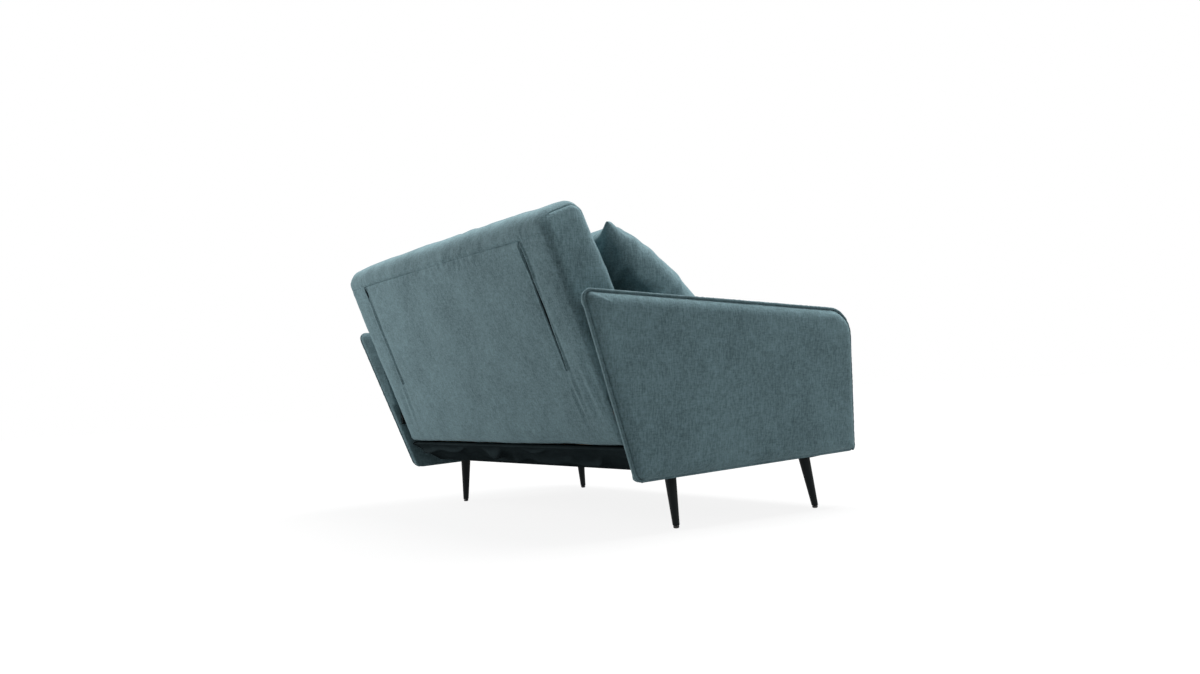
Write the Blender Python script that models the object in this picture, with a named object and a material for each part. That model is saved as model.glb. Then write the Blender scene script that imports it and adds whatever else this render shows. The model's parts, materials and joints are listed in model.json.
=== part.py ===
"""Sleeper loveseat: flared piped arms, a reclining back with swing-out props, and a fold-out front leaf.

Metres, +Z up. The front faces -Y, +X is the right side seen from the front, and the origin lies on the
floor under the middle of the object.
"""
import math

import bmesh
import bpy
from mathutils import Matrix, Vector

# Clearances
GAP = 0.0003
RUNNING_GAP = 0.0005
FLOOR_GAP = 0.002

# Arms: a panel that leans outwards, padded on both faces, with a piped outer edge
ARM_FOOT_HALF = 0.6665
ARM_FOOT_STEP = 0.0065
ARM_CLEAR_HALF = ARM_FOOT_HALF - ARM_FOOT_STEP
ARM_FOOT_Z = 0.126
ARM_REAR_FOOT_Y = 0.250
ARM_FLARE = math.radians(6.6)
ARM_BASE_LENGTH = 0.726
ARM_FRONT_Y = ARM_REAR_FOOT_Y - ARM_BASE_LENGTH
ARM_FRONT_LIFT = 0.0226
ARM_REAR_HEIGHT = 0.470
ARM_REAR_LEAN = math.radians(19.0)
ARM_FRONT_HEIGHT = 0.388
ARM_FRONT_LEAN = math.radians(4.2)
ARM_REAR_FOOT_RADIUS = 0.034
ARM_REAR_TOP_RADIUS = 0.032
ARM_FRONT_TOP_RADIUS = 0.085
ARM_FRONT_FOOT_RADIUS = 0.014
ARM_PAD_THICKNESS = 0.008
ARM_PANEL_THICKNESS = 0.010
ARM_PANEL_RIM = 0.009
ARM_PANEL_FOOT_RIM = 0.00225
ARM_EDGE_SLOPE = 0.66
ARM_CORNER_LEAST = 0.006
WELT_RADIUS = 0.0045
WELT_PROUD = 0.001

# Backrest: a padded slab, measured up its slope and forwards from its rear face
BACK_LEAN = math.radians(20.3)
BACK_FOOT_Y = 0.264
BACK_FOOT_Z = 0.2144
BACK_SIDE_GAP = 0.013
BACK_HALF_WIDTH = ARM_CLEAR_HALF - BACK_SIDE_GAP
BACK_LENGTH = 0.597
BACK_THICKNESS = 0.135
BACK_EDGE_RADIUS = 0.045
BACK_SIDE_RADIUS = 0.022
BACK_CORNER_RADIUS = 0.036
BACK_FOOT_RADIUS = 0.016
BACK_CROWN = 0.027
BACK_CROWN_START = 0.200
BACK_REAR_PAD = 0.042
BACK_FRAME_THICKNESS = 0.025
BACK_RAIL_WIDTH = 0.080
BACK_RAIL_INSET = 0.002
BACK_STILE_WIDTH = 0.124
HINGE_DEPTH = 0.012
HINGE_PIN_RADIUS = 0.005
HINGE_PLATE = 0.006
HINGE_PLATE_RADIUS = 0.0105
HINGE_PLATE_REACH = 0.043
HINGE_BLOCK_HEIGHT = 0.050
HINGE_BLOCK_FRONT = 0.030
HINGE_BLOCK_REAR = 0.006

# Swing-out props in the back's two long slits
PROP_SETBACK = 0.127
PROP_X = BACK_HALF_WIDTH - PROP_SETBACK
PROP_PIVOT_UP = 0.520
PROP_PIVOT_DEPTH = 0.021
PROP_THICKNESS = 0.008
PROP_HALF_WIDTH = 0.013
SLIT_CLEARANCE = 0.002
SLIT_END_CLEARANCE = 0.008
PROP_PIN_RADIUS = 0.004
CLEAT_WIDTH = 0.020
CLEAT_HEIGHT = 0.044
CLEAT_COVER = 0.004

# Seat
SEAT_TOP = 0.424
SEAT_CUSHION = 0.096
SEAT_CROWN = 0.012
SEAT_EDGE_RADIUS = 0.028
SEAT_REAR_CLEARANCE = 0.020
SEAT_SIDE_CLEARANCE = 0.004
DECK_THICKNESS = 0.006
RAIL_HEIGHT = 0.070
RAIL_THICKNESS = 0.025
FRONT_RAIL_SETBACK = 0.126
FRONT_RAIL_Y = ARM_FRONT_Y + FRONT_RAIL_SETBACK
REAR_RAIL_Y = 0.090
SPRING_COUNT = 3
SPRING_SPACING = 0.350
SPRING_WIRE = 0.0025
SPRING_HALF_WIDTH = 0.024
SPRING_WAVES = 7

# Base and legs
BASE_UNDERSIDE = 0.147
DUST_SHEET = 0.002
SIDE_BOARD_WIDTH = 0.045
SIDE_BOARD_INNER = ARM_CLEAR_HALF - SIDE_BOARD_WIDTH
SIDE_BOARD_REAR_Y = 0.125
SILL_HEIGHT = 0.041
SILL_SETBACK = 0.031
SILL_FRONT_Y = ARM_FRONT_Y + SILL_SETBACK
PLINTH_DEPTH = 0.038
DUST_REAR_Y = 0.160
DUST_TOP_Y = 0.258
DUST_TOP_Z = 0.2075
DUST_SIDE_GAP = 0.014
DUST_HALF_WIDTH = ARM_CLEAR_HALF - DUST_SIDE_GAP
BATTEN_WIDTH = 0.030
BATTEN_THICKNESS = 0.010
BATTEN_END = 0.014
BLOCK_SIZE = 0.070
LEG_TOP_RADIUS = 0.0160
LEG_FOOT_RADIUS = 0.0088
LEG_SIDE_SETBACK = 0.058
LEG_X = ARM_CLEAR_HALF - LEG_SIDE_SETBACK
REAR_LEG_Y = 0.095
FRONT_LEG_SETBACK = 0.100
FRONT_LEG_Y = ARM_FRONT_Y + FRONT_LEG_SETBACK
LEG_SPLAY = math.radians(6.0)
FRONT_LEG_RAKE = math.radians(7.0)
GLIDE_RADIUS = 0.0076
GLIDE_HEIGHT = 0.007

# Front leaf: two padded panels that hang folded and open into the bed's foot
FASCIA_SETBACK = 0.021
FASCIA_Y = ARM_FRONT_Y + FASCIA_SETBACK
FASCIA_PAD = 0.025
LEAF_BOARD = 0.012
LEAF_COVER = 0.003
LEAF_PAD = 0.020
LEAF_BOTTOM = 0.195
LEAF_DROP = 0.008
LEAF_END_GAP = 0.002
LEAF_SIDE_GAP = 0.008
LEAF_ROUND = 0.012
LEAF_TAPE_WIDTH = 0.040
LEAF_ROD_RADIUS = 0.004
LEAF_LEG_X = 0.420
LEAF_LEG_UP = 0.040
LEAF_LEG_RADIUS = 0.009
LEAF_LEG_DEPTH = 0.016
CLEVIS_PLATE = 0.0025
CLEVIS_EAR = 0.008
CLEVIS_PIN_RADIUS = 0.003

# Throw pillow, leaning in the corner by the left arm
PILLOW_SIZE = 0.450
PILLOW_FRONT = 0.125
PILLOW_REAR = 0.074
PILLOW_EDGE = 0.008
PILLOW_FULLNESS = 0.4
PILLOW_PINCH = 0.040
PILLOW_CUTS = (0.28, 0.55, 0.78, 0.94)
PILLOW_LEAN = math.radians(45.3)
PILLOW_SIDE_GAP = 0.031
PILLOW_X = PILLOW_SIZE / 2 + PILLOW_SIDE_GAP - ARM_CLEAR_HALF
PILLOW_Y = 0.101
PILLOW_FLAT_Y = 0.300
PILLOW_FLAT_CLEARANCE = 0.017
PILLOW_SEAT_DIP = 0.0014

# Worked-out places
RISE = Vector((0, math.sin(BACK_LEAN), math.cos(BACK_LEAN)))
REARWARDS = Vector((0, math.cos(BACK_LEAN), -math.sin(BACK_LEAN)))
BACK_FOOT = Vector((0, BACK_FOOT_Y, BACK_FOOT_Z))
HINGE_UP = (
    SEAT_TOP - BACK_THICKNESS + HINGE_DEPTH - BACK_FOOT_Z - HINGE_DEPTH * math.sin(BACK_LEAN)
) / math.cos(BACK_LEAN)
HINGE_POINT = BACK_FOOT + RISE * HINGE_UP - REARWARDS * HINGE_DEPTH
FRAME_DEPTH = BACK_REAR_PAD + GAP
FRONT_PAD_DEPTH = FRAME_DEPTH + BACK_FRAME_THICKNESS + GAP
PROP_LENGTH = HINGE_POINT.z + PROP_PIVOT_DEPTH - HINGE_DEPTH - FLOOR_GAP
PANEL_OUTER_DEPTH = ARM_PAD_THICKNESS + GAP
PANEL_INNER_DEPTH = PANEL_OUTER_DEPTH + ARM_PANEL_THICKNESS
CUSHION_BOTTOM = SEAT_TOP - SEAT_CUSHION
RAIL_TOP = CUSHION_BOTTOM - DECK_THICKNESS - 2 * GAP
SILL_BOTTOM = BASE_UNDERSIDE + DUST_SHEET + GAP
SILL_TOP = SILL_BOTTOM + SILL_HEIGHT
PLINTH_HALF_WIDTH = ARM_FOOT_HALF + (SILL_BOTTOM - ARM_FOOT_Z) * math.tan(ARM_FLARE)
PLINTH_HALF_WIDTH -= PANEL_INNER_DEPTH / math.cos(ARM_FLARE) + GAP
LEAF_HALF_WIDTH = ARM_CLEAR_HALF - LEAF_SIDE_GAP
LEAF_TOP = SEAT_TOP - LEAF_DROP
OUTER_BOARD_Y = FASCIA_Y + FASCIA_PAD + GAP
FOLD_Y = OUTER_BOARD_Y + LEAF_BOARD + LEAF_COVER
INNER_PAD_Y = FOLD_Y + RUNNING_GAP
INNER_BOARD_Y = INNER_PAD_Y + LEAF_PAD + GAP
LEAF_AXIS_Y = INNER_BOARD_Y + LEAF_BOARD / 2
LEAF_AXIS_Z = LEAF_TOP - (LEAF_AXIS_Y - INNER_PAD_Y)
LEAF_BACK_Y = INNER_BOARD_Y + LEAF_BOARD
LEAF_LEG_Y = LEAF_BACK_Y + GAP + CLEVIS_PLATE + RUNNING_GAP + LEAF_LEG_RADIUS
LEAF_LEG_Z = LEAF_BOTTOM + LEAF_LEG_UP
LEAF_LEG_LENGTH = LEAF_AXIS_Z - (LEAF_LEG_Y - LEAF_AXIS_Y) - FLOOR_GAP - LEAF_LEG_RADIUS
SEAT_FRONT_Y = LEAF_AXIS_Y + math.hypot(LEAF_BOARD / 2, LEAF_TOP - LEAF_AXIS_Z) + FLOOR_GAP
REAR_EXTENT_Y = BACK_FOOT_Y + (BACK_LENGTH - BACK_EDGE_RADIUS) * RISE.y
REAR_EXTENT_Y += BACK_EDGE_RADIUS - BACK_EDGE_RADIUS * REARWARDS.y
CENTRE_Y = (ARM_FRONT_Y + REAR_EXTENT_Y) / 2


# Scene, materials and placing

for old in list(bpy.data.objects):
    bpy.data.objects.remove(old, do_unlink=True)

parts = bpy.data.collections.new("sleeper_loveseat")
cutters = bpy.data.collections.new("loveseat_cutters")
bpy.context.scene.collection.children.link(parts)
bpy.context.scene.collection.children.link(cutters)


def finish(name, colour, roughness, metallic=0.0):
    """A Principled material of one colour."""
    material = bpy.data.materials.new(name)
    material.use_nodes = True
    shader = material.node_tree.nodes["Principled BSDF"]
    shader.inputs["Base Color"].default_value = (*colour, 1)
    shader.inputs["Roughness"].default_value = roughness
    shader.inputs["Metallic"].default_value = metallic
    return material


velvet = finish("grey_teal_velvet", (0.110, 0.158, 0.165), 0.85)
piping_cloth = finish("piping_velvet", (0.095, 0.138, 0.145), 0.8)
black_cloth = finish("black_dust_cloth", (0.012, 0.013, 0.015), 0.9)
softwood = finish("frame_softwood", (0.52, 0.38, 0.22), 0.7)
plywood = finish("plywood", (0.60, 0.46, 0.29), 0.65)
black_metal = finish("black_painted_metal", (0.015, 0.017, 0.018), 0.4, 0.2)
bare_steel = finish("zinc_plated_steel", (0.55, 0.56, 0.57), 0.35, 0.9)
black_plastic = finish("black_plastic", (0.02, 0.02, 0.02), 0.5)


def empty(name, location, rotation=(0, 0, 0), parent=None):
    """A plain axis that places what is parented to it."""
    axis = bpy.data.objects.new(name, None)
    axis.empty_display_size = 0.05
    axis.parent = parent
    axis.location = location
    axis.rotation_euler = rotation
    parts.objects.link(axis)
    return axis


def place(obj, material, parent, location=(0, 0, 0), group=parts):
    """Puts an object in its collection, under its parent, with its material."""
    obj.parent = parent
    obj.location = location
    if material:
        obj.data.materials.append(material)
    if group is cutters:
        obj.hide_render = True
        obj.display_type = "WIRE"
    if obj.name not in group.objects:
        group.objects.link(obj)
    return obj


def mesh_object(name, bm):
    """An object from a bmesh, with its faces pointing out."""
    bmesh.ops.recalc_face_normals(bm, faces=bm.faces)
    mesh = bpy.data.meshes.new(name)
    bm.to_mesh(mesh)
    bm.free()
    return bpy.data.objects.new(name, mesh)


def box(name, low, high, material, parent, group=parts):
    """A box between two corners in its parent's space."""
    size = Vector(high) - Vector(low)
    bm = bmesh.new()
    bmesh.ops.create_cube(bm, size=1)
    bmesh.ops.scale(bm, vec=size, verts=bm.verts)
    return place(mesh_object(name, bm), material, parent, (Vector(low) + Vector(high)) / 2, group)


def rod(name, centre, axis, radius, length, material, parent, group=parts, sides=24):
    """A round bar of one length, centred, along X, Y or Z of its parent."""
    bm = bmesh.new()
    bmesh.ops.create_cone(
        bm, cap_ends=True, segments=sides, radius1=radius, radius2=radius, depth=length
    )
    turn = {"X": Matrix.Rotation(math.pi / 2, 3, "Y"), "Y": Matrix.Rotation(math.pi / 2, 3, "X")}
    if axis in turn:
        bmesh.ops.rotate(bm, matrix=turn[axis], verts=bm.verts)
    obj = mesh_object(name, bm)
    obj.data.shade_smooth()
    obj.data.set_sharp_from_angle(angle=math.radians(40))
    return place(obj, material, parent, centre, group)


def boolean(obj, cutter, operation="DIFFERENCE"):
    """Cuts or joins an object with a cutter, as a live modifier."""
    modifier = obj.modifiers.new(cutter.name, "BOOLEAN")
    modifier.operation = operation
    modifier.solver = "EXACT"
    modifier.object = cutter
    return obj


def spline_object(name, points, closed=True, dimensions="2D"):
    """A curve object with one polygon spline."""
    curve = bpy.data.curves.new(name, "CURVE")
    curve.dimensions = dimensions
    spline = curve.splines.new("POLY")
    spline.points.add(len(points) - 1)
    for target, point in zip(spline.points, points):
        target.co = (*point, 1) if len(point) == 3 else (*point, 0, 1)
    spline.use_cyclic_u = closed
    return bpy.data.objects.new(name, curve)


def as_mesh(source):
    """Turns a placed curve into a welded mesh object of the same name."""
    bpy.context.view_layer.update()
    name, parent, local = source.name, source.parent, source.matrix_local.copy()
    evaluated = source.evaluated_get(bpy.context.evaluated_depsgraph_get())
    mesh = bpy.data.meshes.new_from_object(evaluated)
    curve = source.data
    bpy.data.objects.remove(source, do_unlink=True)
    bpy.data.curves.remove(curve)
    bm = bmesh.new()
    bm.from_mesh(mesh)
    bmesh.ops.remove_doubles(bm, verts=bm.verts, dist=0.00001)
    bmesh.ops.recalc_face_normals(bm, faces=bm.faces)
    bm.to_mesh(mesh)
    bm.free()
    obj = bpy.data.objects.new(name, mesh)
    parts.objects.link(obj)
    obj.parent = parent
    obj.matrix_local = local
    return obj


def plate(name, outline, low, high, material, parent, basis):
    """A flat outline given thickness from low to high along its third axis."""
    obj = spline_object(name, outline)
    obj.data.fill_mode = "BOTH"
    obj.data.extrude = (high - low) / 2
    place(obj, material, parent)
    middle = basis.to_3x3() @ Vector((0, 0, (low + high) / 2))
    obj.matrix_local = Matrix.Translation(middle) @ basis
    return as_mesh(obj)


def loft(name, low_outline, high_outline, low, high, material, parent):
    """A solid between two outlines with as many points, at two heights of its parent's third axis."""
    bm = bmesh.new()
    ends = []
    for outline, height in ((low_outline, low), (high_outline, high)):
        ends.append([bm.verts.new((*point, height)) for point in outline])
    count = len(low_outline)
    for i in range(count):
        after = (i + 1) % count
        bm.faces.new((ends[0][i], ends[0][after], ends[1][after], ends[1][i]))
    for end in ends:
        bm.faces.new(end)
    return place(smooth(mesh_object(name, bm)), material, parent)


UPRIGHT = Matrix(((0, 0, 1, 0), (1, 0, 0, 0), (0, 1, 0, 0), (0, 0, 0, 1)))
LEVEL = Matrix.Identity(4)


# Outlines

def offset_corners(corners, insets):
    """Moves each side of an anticlockwise polygon inwards by its inset and returns the new corners."""
    count = len(corners)
    lines = []
    for i, inset in enumerate(insets):
        start = Vector(corners[i])
        along = (Vector(corners[(i + 1) % count]) - start).normalized()
        lines.append((start + Vector((-along.y, along.x)) * inset, along))
    moved = []
    for i in range(count):
        (p, d), (q, e) = lines[i - 1], lines[i]
        t = ((q.x - p.x) * e.y - (q.y - p.y) * e.x) / (d.x * e.y - d.y * e.x)
        moved.append(p + d * t)
    return moved


def rounded(corners, radii, steps=6):
    """An outline with a round arc at each corner that has a radius."""
    points = []
    count = len(corners)
    for i, radius in enumerate(radii):
        here = Vector(corners[i])
        before = (Vector(corners[i - 1]) - here).normalized()
        after = (Vector(corners[(i + 1) % count]) - here).normalized()
        half = before.angle(after) / 2
        centre = here + (before + after).normalized() * (radius / math.sin(half))
        start = here + before * (radius / math.tan(half)) - centre
        sweep = start.angle_signed(here + after * (radius / math.tan(half)) - centre)
        for k in range(steps + 1):
            angle = -sweep * k / steps
            turned = Matrix.Rotation(angle, 2) @ start
            points.append(centre + turned)
    return points


def stadium(length, radius, steps=8):
    """A bar's outline with round ends: it starts at the origin and runs down the second axis."""
    ends = ((0, 0), (-length, math.pi))
    points = []
    for centre, start in ends:
        for k in range(steps + 1):
            angle = start + math.pi * k / steps
            points.append((radius * math.cos(angle), centre + radius * math.sin(angle)))
    return points


def arm_corners():
    """The arm's four corners in its own plane: along Y from the rear foot, and up the flare."""
    rear_foot = (0, 0)
    rear_top = (ARM_REAR_HEIGHT * math.tan(ARM_REAR_LEAN), ARM_REAR_HEIGHT)
    front_foot = (-ARM_BASE_LENGTH, ARM_FRONT_LIFT)
    front_top = (
        front_foot[0] + ARM_FRONT_HEIGHT * math.tan(ARM_FRONT_LEAN),
        ARM_FRONT_LIFT + ARM_FRONT_HEIGHT,
    )
    return [rear_foot, rear_top, front_top, front_foot]


def arm_outline(inset, foot_inset=None):
    """The arm's rounded outline, drawn in by an inset, which can differ at its lower edge."""
    radii = (
        ARM_REAR_FOOT_RADIUS,
        ARM_REAR_TOP_RADIUS,
        ARM_FRONT_TOP_RADIUS,
        ARM_FRONT_FOOT_RADIUS,
    )
    insets = [inset, inset, inset, inset if foot_inset is None else foot_inset]
    arcs = [max(radius - inset, ARM_CORNER_LEAST) for radius in radii]
    return rounded(offset_corners(arm_corners(), insets), arcs)


# Soft blocks

def loops(half, radii, inner):
    """Where a soft block's cage is cut along one axis: two cuts in each round edge, and some between."""
    flat = half - max(radii)
    cuts = [flat * (2 * k / (inner + 1) - 1) for k in range(1, inner + 1)]
    for radius in radii:
        for edge in (half - radius, half - radius + radius * math.tan(math.pi / 8)):
            cuts += [-edge, edge]
    return cuts


def soft_block(half, edge_radii, inner, rounding=None, shape=None):
    """A box with round edges, as a bmesh.

    The edge radii used along each axis place the cage's cuts. A rounding function can choose among them
    by place, and a shape function can then move each point.
    """
    bm = bmesh.new()
    bmesh.ops.create_cube(bm, size=2)
    bmesh.ops.scale(bm, vec=half, verts=bm.verts)
    for axis in range(3):
        normal = Vector((axis == 0, axis == 1, axis == 2))
        for cut in loops(half[axis], edge_radii[axis], inner[axis]):
            everything = bm.verts[:] + bm.edges[:] + bm.faces[:]
            bmesh.ops.bisect_plane(bm, geom=everything, plane_co=normal * cut, plane_no=normal)
    for vert in bm.verts:
        radii = rounding(vert.co) if rounding else [group[0] for group in edge_radii]
        core = Vector([max(-h + r, min(h - r, c)) for c, h, r in zip(vert.co, half, radii)])
        out = Vector([(c - k) / r for c, k, r in zip(vert.co, core, radii)])
        out.normalize()
        share = Vector([c / h for c, h in zip(vert.co, half)])
        vert.co = core + Vector([o * r for o, r in zip(out, radii)])
        if shape:
            vert.co = shape(vert.co, share)
    return bm


def swell(a):
    """How full a pad is across one axis: flat in the middle, falling to nothing at the edge."""
    return max(0.0, 1 - abs(a) ** 4)


def keep_side(bm, plane_y, sign):
    """Cuts a bmesh square to Y, keeps one side and closes the cut."""
    everything = bm.verts[:] + bm.edges[:] + bm.faces[:]
    cut = bmesh.ops.bisect_plane(
        bm,
        geom=everything,
        plane_co=(0, plane_y, 0),
        plane_no=(0, sign, 0),
        clear_inner=True,
    )
    edges = [item for item in cut["geom_cut"] if isinstance(item, bmesh.types.BMEdge)]
    bmesh.ops.edgeloop_fill(bm, edges=edges)
    return bm


def smooth(obj, degrees=35):
    """Smooth shading with crisp edges past an angle."""
    obj.data.shade_smooth()
    obj.data.set_sharp_from_angle(angle=math.radians(degrees))
    return obj


# Arms

def side_word(side):
    return "right" if side > 0 else "left"


def arm_frame(side, root):
    """An axis on the arm's outer face at its rear foot: X to the rear, Y up the flare, Z to the right."""
    corner = (side * ARM_FOOT_HALF, ARM_REAR_FOOT_Y, ARM_FOOT_Z)
    axis = empty(side_word(side) + "_arm_axis", corner, parent=root)
    up = Vector((side * math.sin(ARM_FLARE), 0, math.cos(ARM_FLARE)))
    along = Vector((0, 1, 0))
    turn = Matrix((along, up, along.cross(up))).transposed()
    axis.rotation_euler = turn.to_euler()
    return axis


def arm_layer(name, side, axis, outline, outer, inner, material):
    """A sheet of the arm between two depths behind its outer face."""
    low, high = sorted((-side * outer, -side * inner))
    return plate(name, outline, low, high, material, axis, LEVEL)


def arm_welt(side, axis):
    """The piping up the rear edge, over the top and down the front of the outer face."""
    outline = arm_outline(WELT_RADIUS)
    steps = len(outline) // 4
    path = [(*point, -side * (WELT_RADIUS - WELT_PROUD)) for point in outline[steps - 1:-steps // 2]]
    obj = spline_object(side_word(side) + "_arm_welt", path, closed=False, dimensions="3D")
    obj.data.bevel_depth = WELT_RADIUS
    obj.data.bevel_resolution = 2
    obj.data.use_fill_caps = True
    return place(obj, piping_cloth, axis)


def flare_cutter(side, axis):
    """Everything outside the arm panel's inner face, to fit pieces against it."""
    reach = 2 * ARM_BASE_LENGTH
    low, high = sorted((-side * (PANEL_INNER_DEPTH + GAP), side * ARM_REAR_HEIGHT))
    return box(
        side_word(side) + "_flare_cutter", (-reach, -reach, low), (reach, reach, high), None, axis, cutters
    )


def arm_inner_pad(side, root, axis):
    """The padding from the leaning panel to the arm's upright inner face, drawn in behind the piping."""
    word = side_word(side)
    top_half = ARM_FOOT_HALF + ARM_REAR_HEIGHT * math.sin(ARM_FLARE)
    outer = PANEL_INNER_DEPTH + GAP
    inner = top_half - ARM_CLEAR_HALF + ARM_PANEL_RIM
    drawn_in = ARM_PANEL_RIM + ARM_EDGE_SLOPE * (inner - outer)
    pad = loft(
        word + "_arm_inner_pad",
        arm_outline(ARM_PANEL_RIM),
        arm_outline(drawn_in),
        -side * outer,
        -side * inner,
        velvet,
        axis,
    )
    reach = 2 * ARM_BASE_LENGTH
    low_x, high_x = sorted((side * ARM_CLEAR_HALF, side * 2 * top_half))
    space = box(
        word + "_arm_pad_space", (low_x, -reach, CUSHION_BOTTOM), (high_x, reach, reach), None, root, cutters
    )
    return boolean(pad, space, "INTERSECT")


def build_arm(side, root):
    """One arm. Returns the cutter that fits other pieces to its panel."""
    word = side_word(side)
    axis = arm_frame(side, root)
    cutter = flare_cutter(side, axis)
    outer_outline = arm_outline(2 * WELT_RADIUS + GAP)
    panel_outline = arm_outline(ARM_PANEL_RIM, ARM_PANEL_FOOT_RIM)
    arm_layer(word + "_arm_outer_pad", side, axis, outer_outline, 0, ARM_PAD_THICKNESS, velvet)
    arm_layer(word + "_arm_panel", side, axis, panel_outline, PANEL_OUTER_DEPTH, PANEL_INNER_DEPTH, plywood)
    arm_welt(side, axis)
    arm_inner_pad(side, root, axis)
    return cutter


# Base

def dust_slope():
    """The rear dust panel's slope: its length and its angle."""
    run = Vector((DUST_TOP_Y - DUST_REAR_Y, DUST_TOP_Z - BASE_UNDERSIDE - DUST_SHEET))
    return run.length, math.atan2(run.y, run.x)


def side_board(side, root, cutter):
    """The board under each arm: full height under the seat, with a low tail behind."""
    slope = dust_slope()[1]
    lift = (DUST_SHEET / 2 + GAP) / math.cos(slope)

    def over_dust(y):
        return BASE_UNDERSIDE + DUST_SHEET + (y - DUST_REAR_Y) * math.tan(slope) + lift

    tail_y = DUST_TOP_Y - BATTEN_END
    tail_top = over_dust(tail_y) + BATTEN_THICKNESS
    outline = [
        (FRONT_RAIL_Y, SILL_BOTTOM),
        (DUST_REAR_Y - 2 * DUST_SHEET, SILL_BOTTOM),
        (tail_y, over_dust(tail_y)),
        (tail_y, tail_top),
        (SIDE_BOARD_REAR_Y, tail_top),
        (SIDE_BOARD_REAR_Y, RAIL_TOP),
        (FRONT_RAIL_Y, RAIL_TOP),
    ]
    outer = ARM_FOOT_HALF + ARM_REAR_HEIGHT * math.tan(ARM_FLARE)
    low, high = sorted((side * SIDE_BOARD_INNER, side * outer))
    board = plate(side_word(side) + "_side_board", outline, low, high, softwood, root, UPRIGHT)
    return boolean(board, cutter)


def build_base(root, flares):
    """Side boards, rails, sills and the black cloth that closes the underside and the rear."""
    for side, cutter in flares.items():
        side_board(side, root, cutter)
    span = SIDE_BOARD_INNER - GAP
    rails = {"front_rail": FRONT_RAIL_Y, "rear_rail": REAR_RAIL_Y}
    for name, y in rails.items():
        box(name, (-span, y, RAIL_TOP - RAIL_HEIGHT), (span, y + RAIL_THICKNESS, RAIL_TOP), softwood, root)
    box(
        "plinth_rail",
        (-PLINTH_HALF_WIDTH, SILL_FRONT_Y, SILL_BOTTOM),
        (PLINTH_HALF_WIDTH, SILL_FRONT_Y + PLINTH_DEPTH, SILL_TOP),
        softwood,
        root,
    )
    box(
        "dust_cover",
        (-DUST_HALF_WIDTH, SILL_FRONT_Y, BASE_UNDERSIDE),
        (DUST_HALF_WIDTH, DUST_REAR_Y - 2 * DUST_SHEET, BASE_UNDERSIDE + DUST_SHEET),
        black_cloth,
        root,
    )
    length, slope = dust_slope()
    tilt = empty("dust_slope_axis", (0, DUST_REAR_Y, BASE_UNDERSIDE + DUST_SHEET), (slope, 0, 0), root)
    half = DUST_SHEET / 2
    box("rear_dust_panel", (-DUST_HALF_WIDTH, 0, -half), (DUST_HALF_WIDTH, length, half), black_cloth, tilt)
    high = length - BATTEN_END
    low_z = half + GAP
    box(
        "dust_batten",
        (-span, high - BATTEN_WIDTH, low_z),
        (span, high, low_z + BATTEN_THICKNESS),
        softwood,
        tilt,
    )


def build_leg(side, name, foot_y, rake, root):
    """A splayed tapered leg with level ends, its mounting block and its glide."""
    word = name + "_" + side_word(side)
    foot = Vector((side * LEG_X, foot_y, GLIDE_HEIGHT + GAP))
    height = BASE_UNDERSIDE - GAP - foot.z
    drift = Vector((-side * math.tan(LEG_SPLAY), math.tan(rake), 0)) * height
    bm = bmesh.new()
    bmesh.ops.create_cone(
        bm, cap_ends=True, segments=24, radius1=LEG_FOOT_RADIUS, radius2=LEG_TOP_RADIUS, depth=height
    )
    bmesh.ops.translate(bm, vec=(0, 0, height / 2), verts=bm.verts)
    bmesh.ops.translate(bm, vec=drift, verts=[v for v in bm.verts if v.co.z > height / 2])
    place(smooth(mesh_object("leg_" + word, bm)), black_metal, root, foot)
    top = foot + drift
    half = BLOCK_SIZE / 2
    inner = side * SIDE_BOARD_INNER - side * GAP
    low_x, high_x = sorted((inner, inner - side * BLOCK_SIZE))
    low_y = max(top.y - half, SILL_FRONT_Y + PLINTH_DEPTH + GAP)
    box(
        "leg_block_" + word,
        (low_x, low_y, SILL_BOTTOM),
        (high_x, top.y + half, SILL_TOP),
        softwood,
        root,
    )
    glide_centre = (foot.x, foot.y, GLIDE_HEIGHT / 2)
    rod("glide_" + word, glide_centre, "Z", GLIDE_RADIUS, GLIDE_HEIGHT, black_plastic, root)


def build_legs(root):
    for side in (-1, 1):
        build_leg(side, "front", FRONT_LEG_Y, FRONT_LEG_RAKE, root)
        build_leg(side, "rear", REAR_LEG_Y, 0, root)


# Seat

def seat_spring(number, x, root):
    """A zigzag wire between the two rails, just under the deck."""
    start = FRONT_RAIL_Y + RAIL_THICKNESS + GAP
    run = REAR_RAIL_Y - GAP - start
    z = RAIL_TOP - SPRING_WIRE - RUNNING_GAP
    lead = 4 * SPRING_WIRE
    steps = 4 * SPRING_WAVES
    path = [(x, start, z)]
    for k in range(steps + 1):
        sway = SPRING_HALF_WIDTH * math.sin(2 * math.pi * k / 4)
        path.append((x + sway, start + lead + (run - 2 * lead) * k / steps, z))
    path.append((x, start + run, z))
    obj = spline_object("seat_spring_%d" % number, path, closed=False, dimensions="3D")
    obj.data.bevel_depth = SPRING_WIRE
    obj.data.bevel_resolution = 1
    obj.data.use_fill_caps = True
    place(obj, bare_steel, root)


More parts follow.
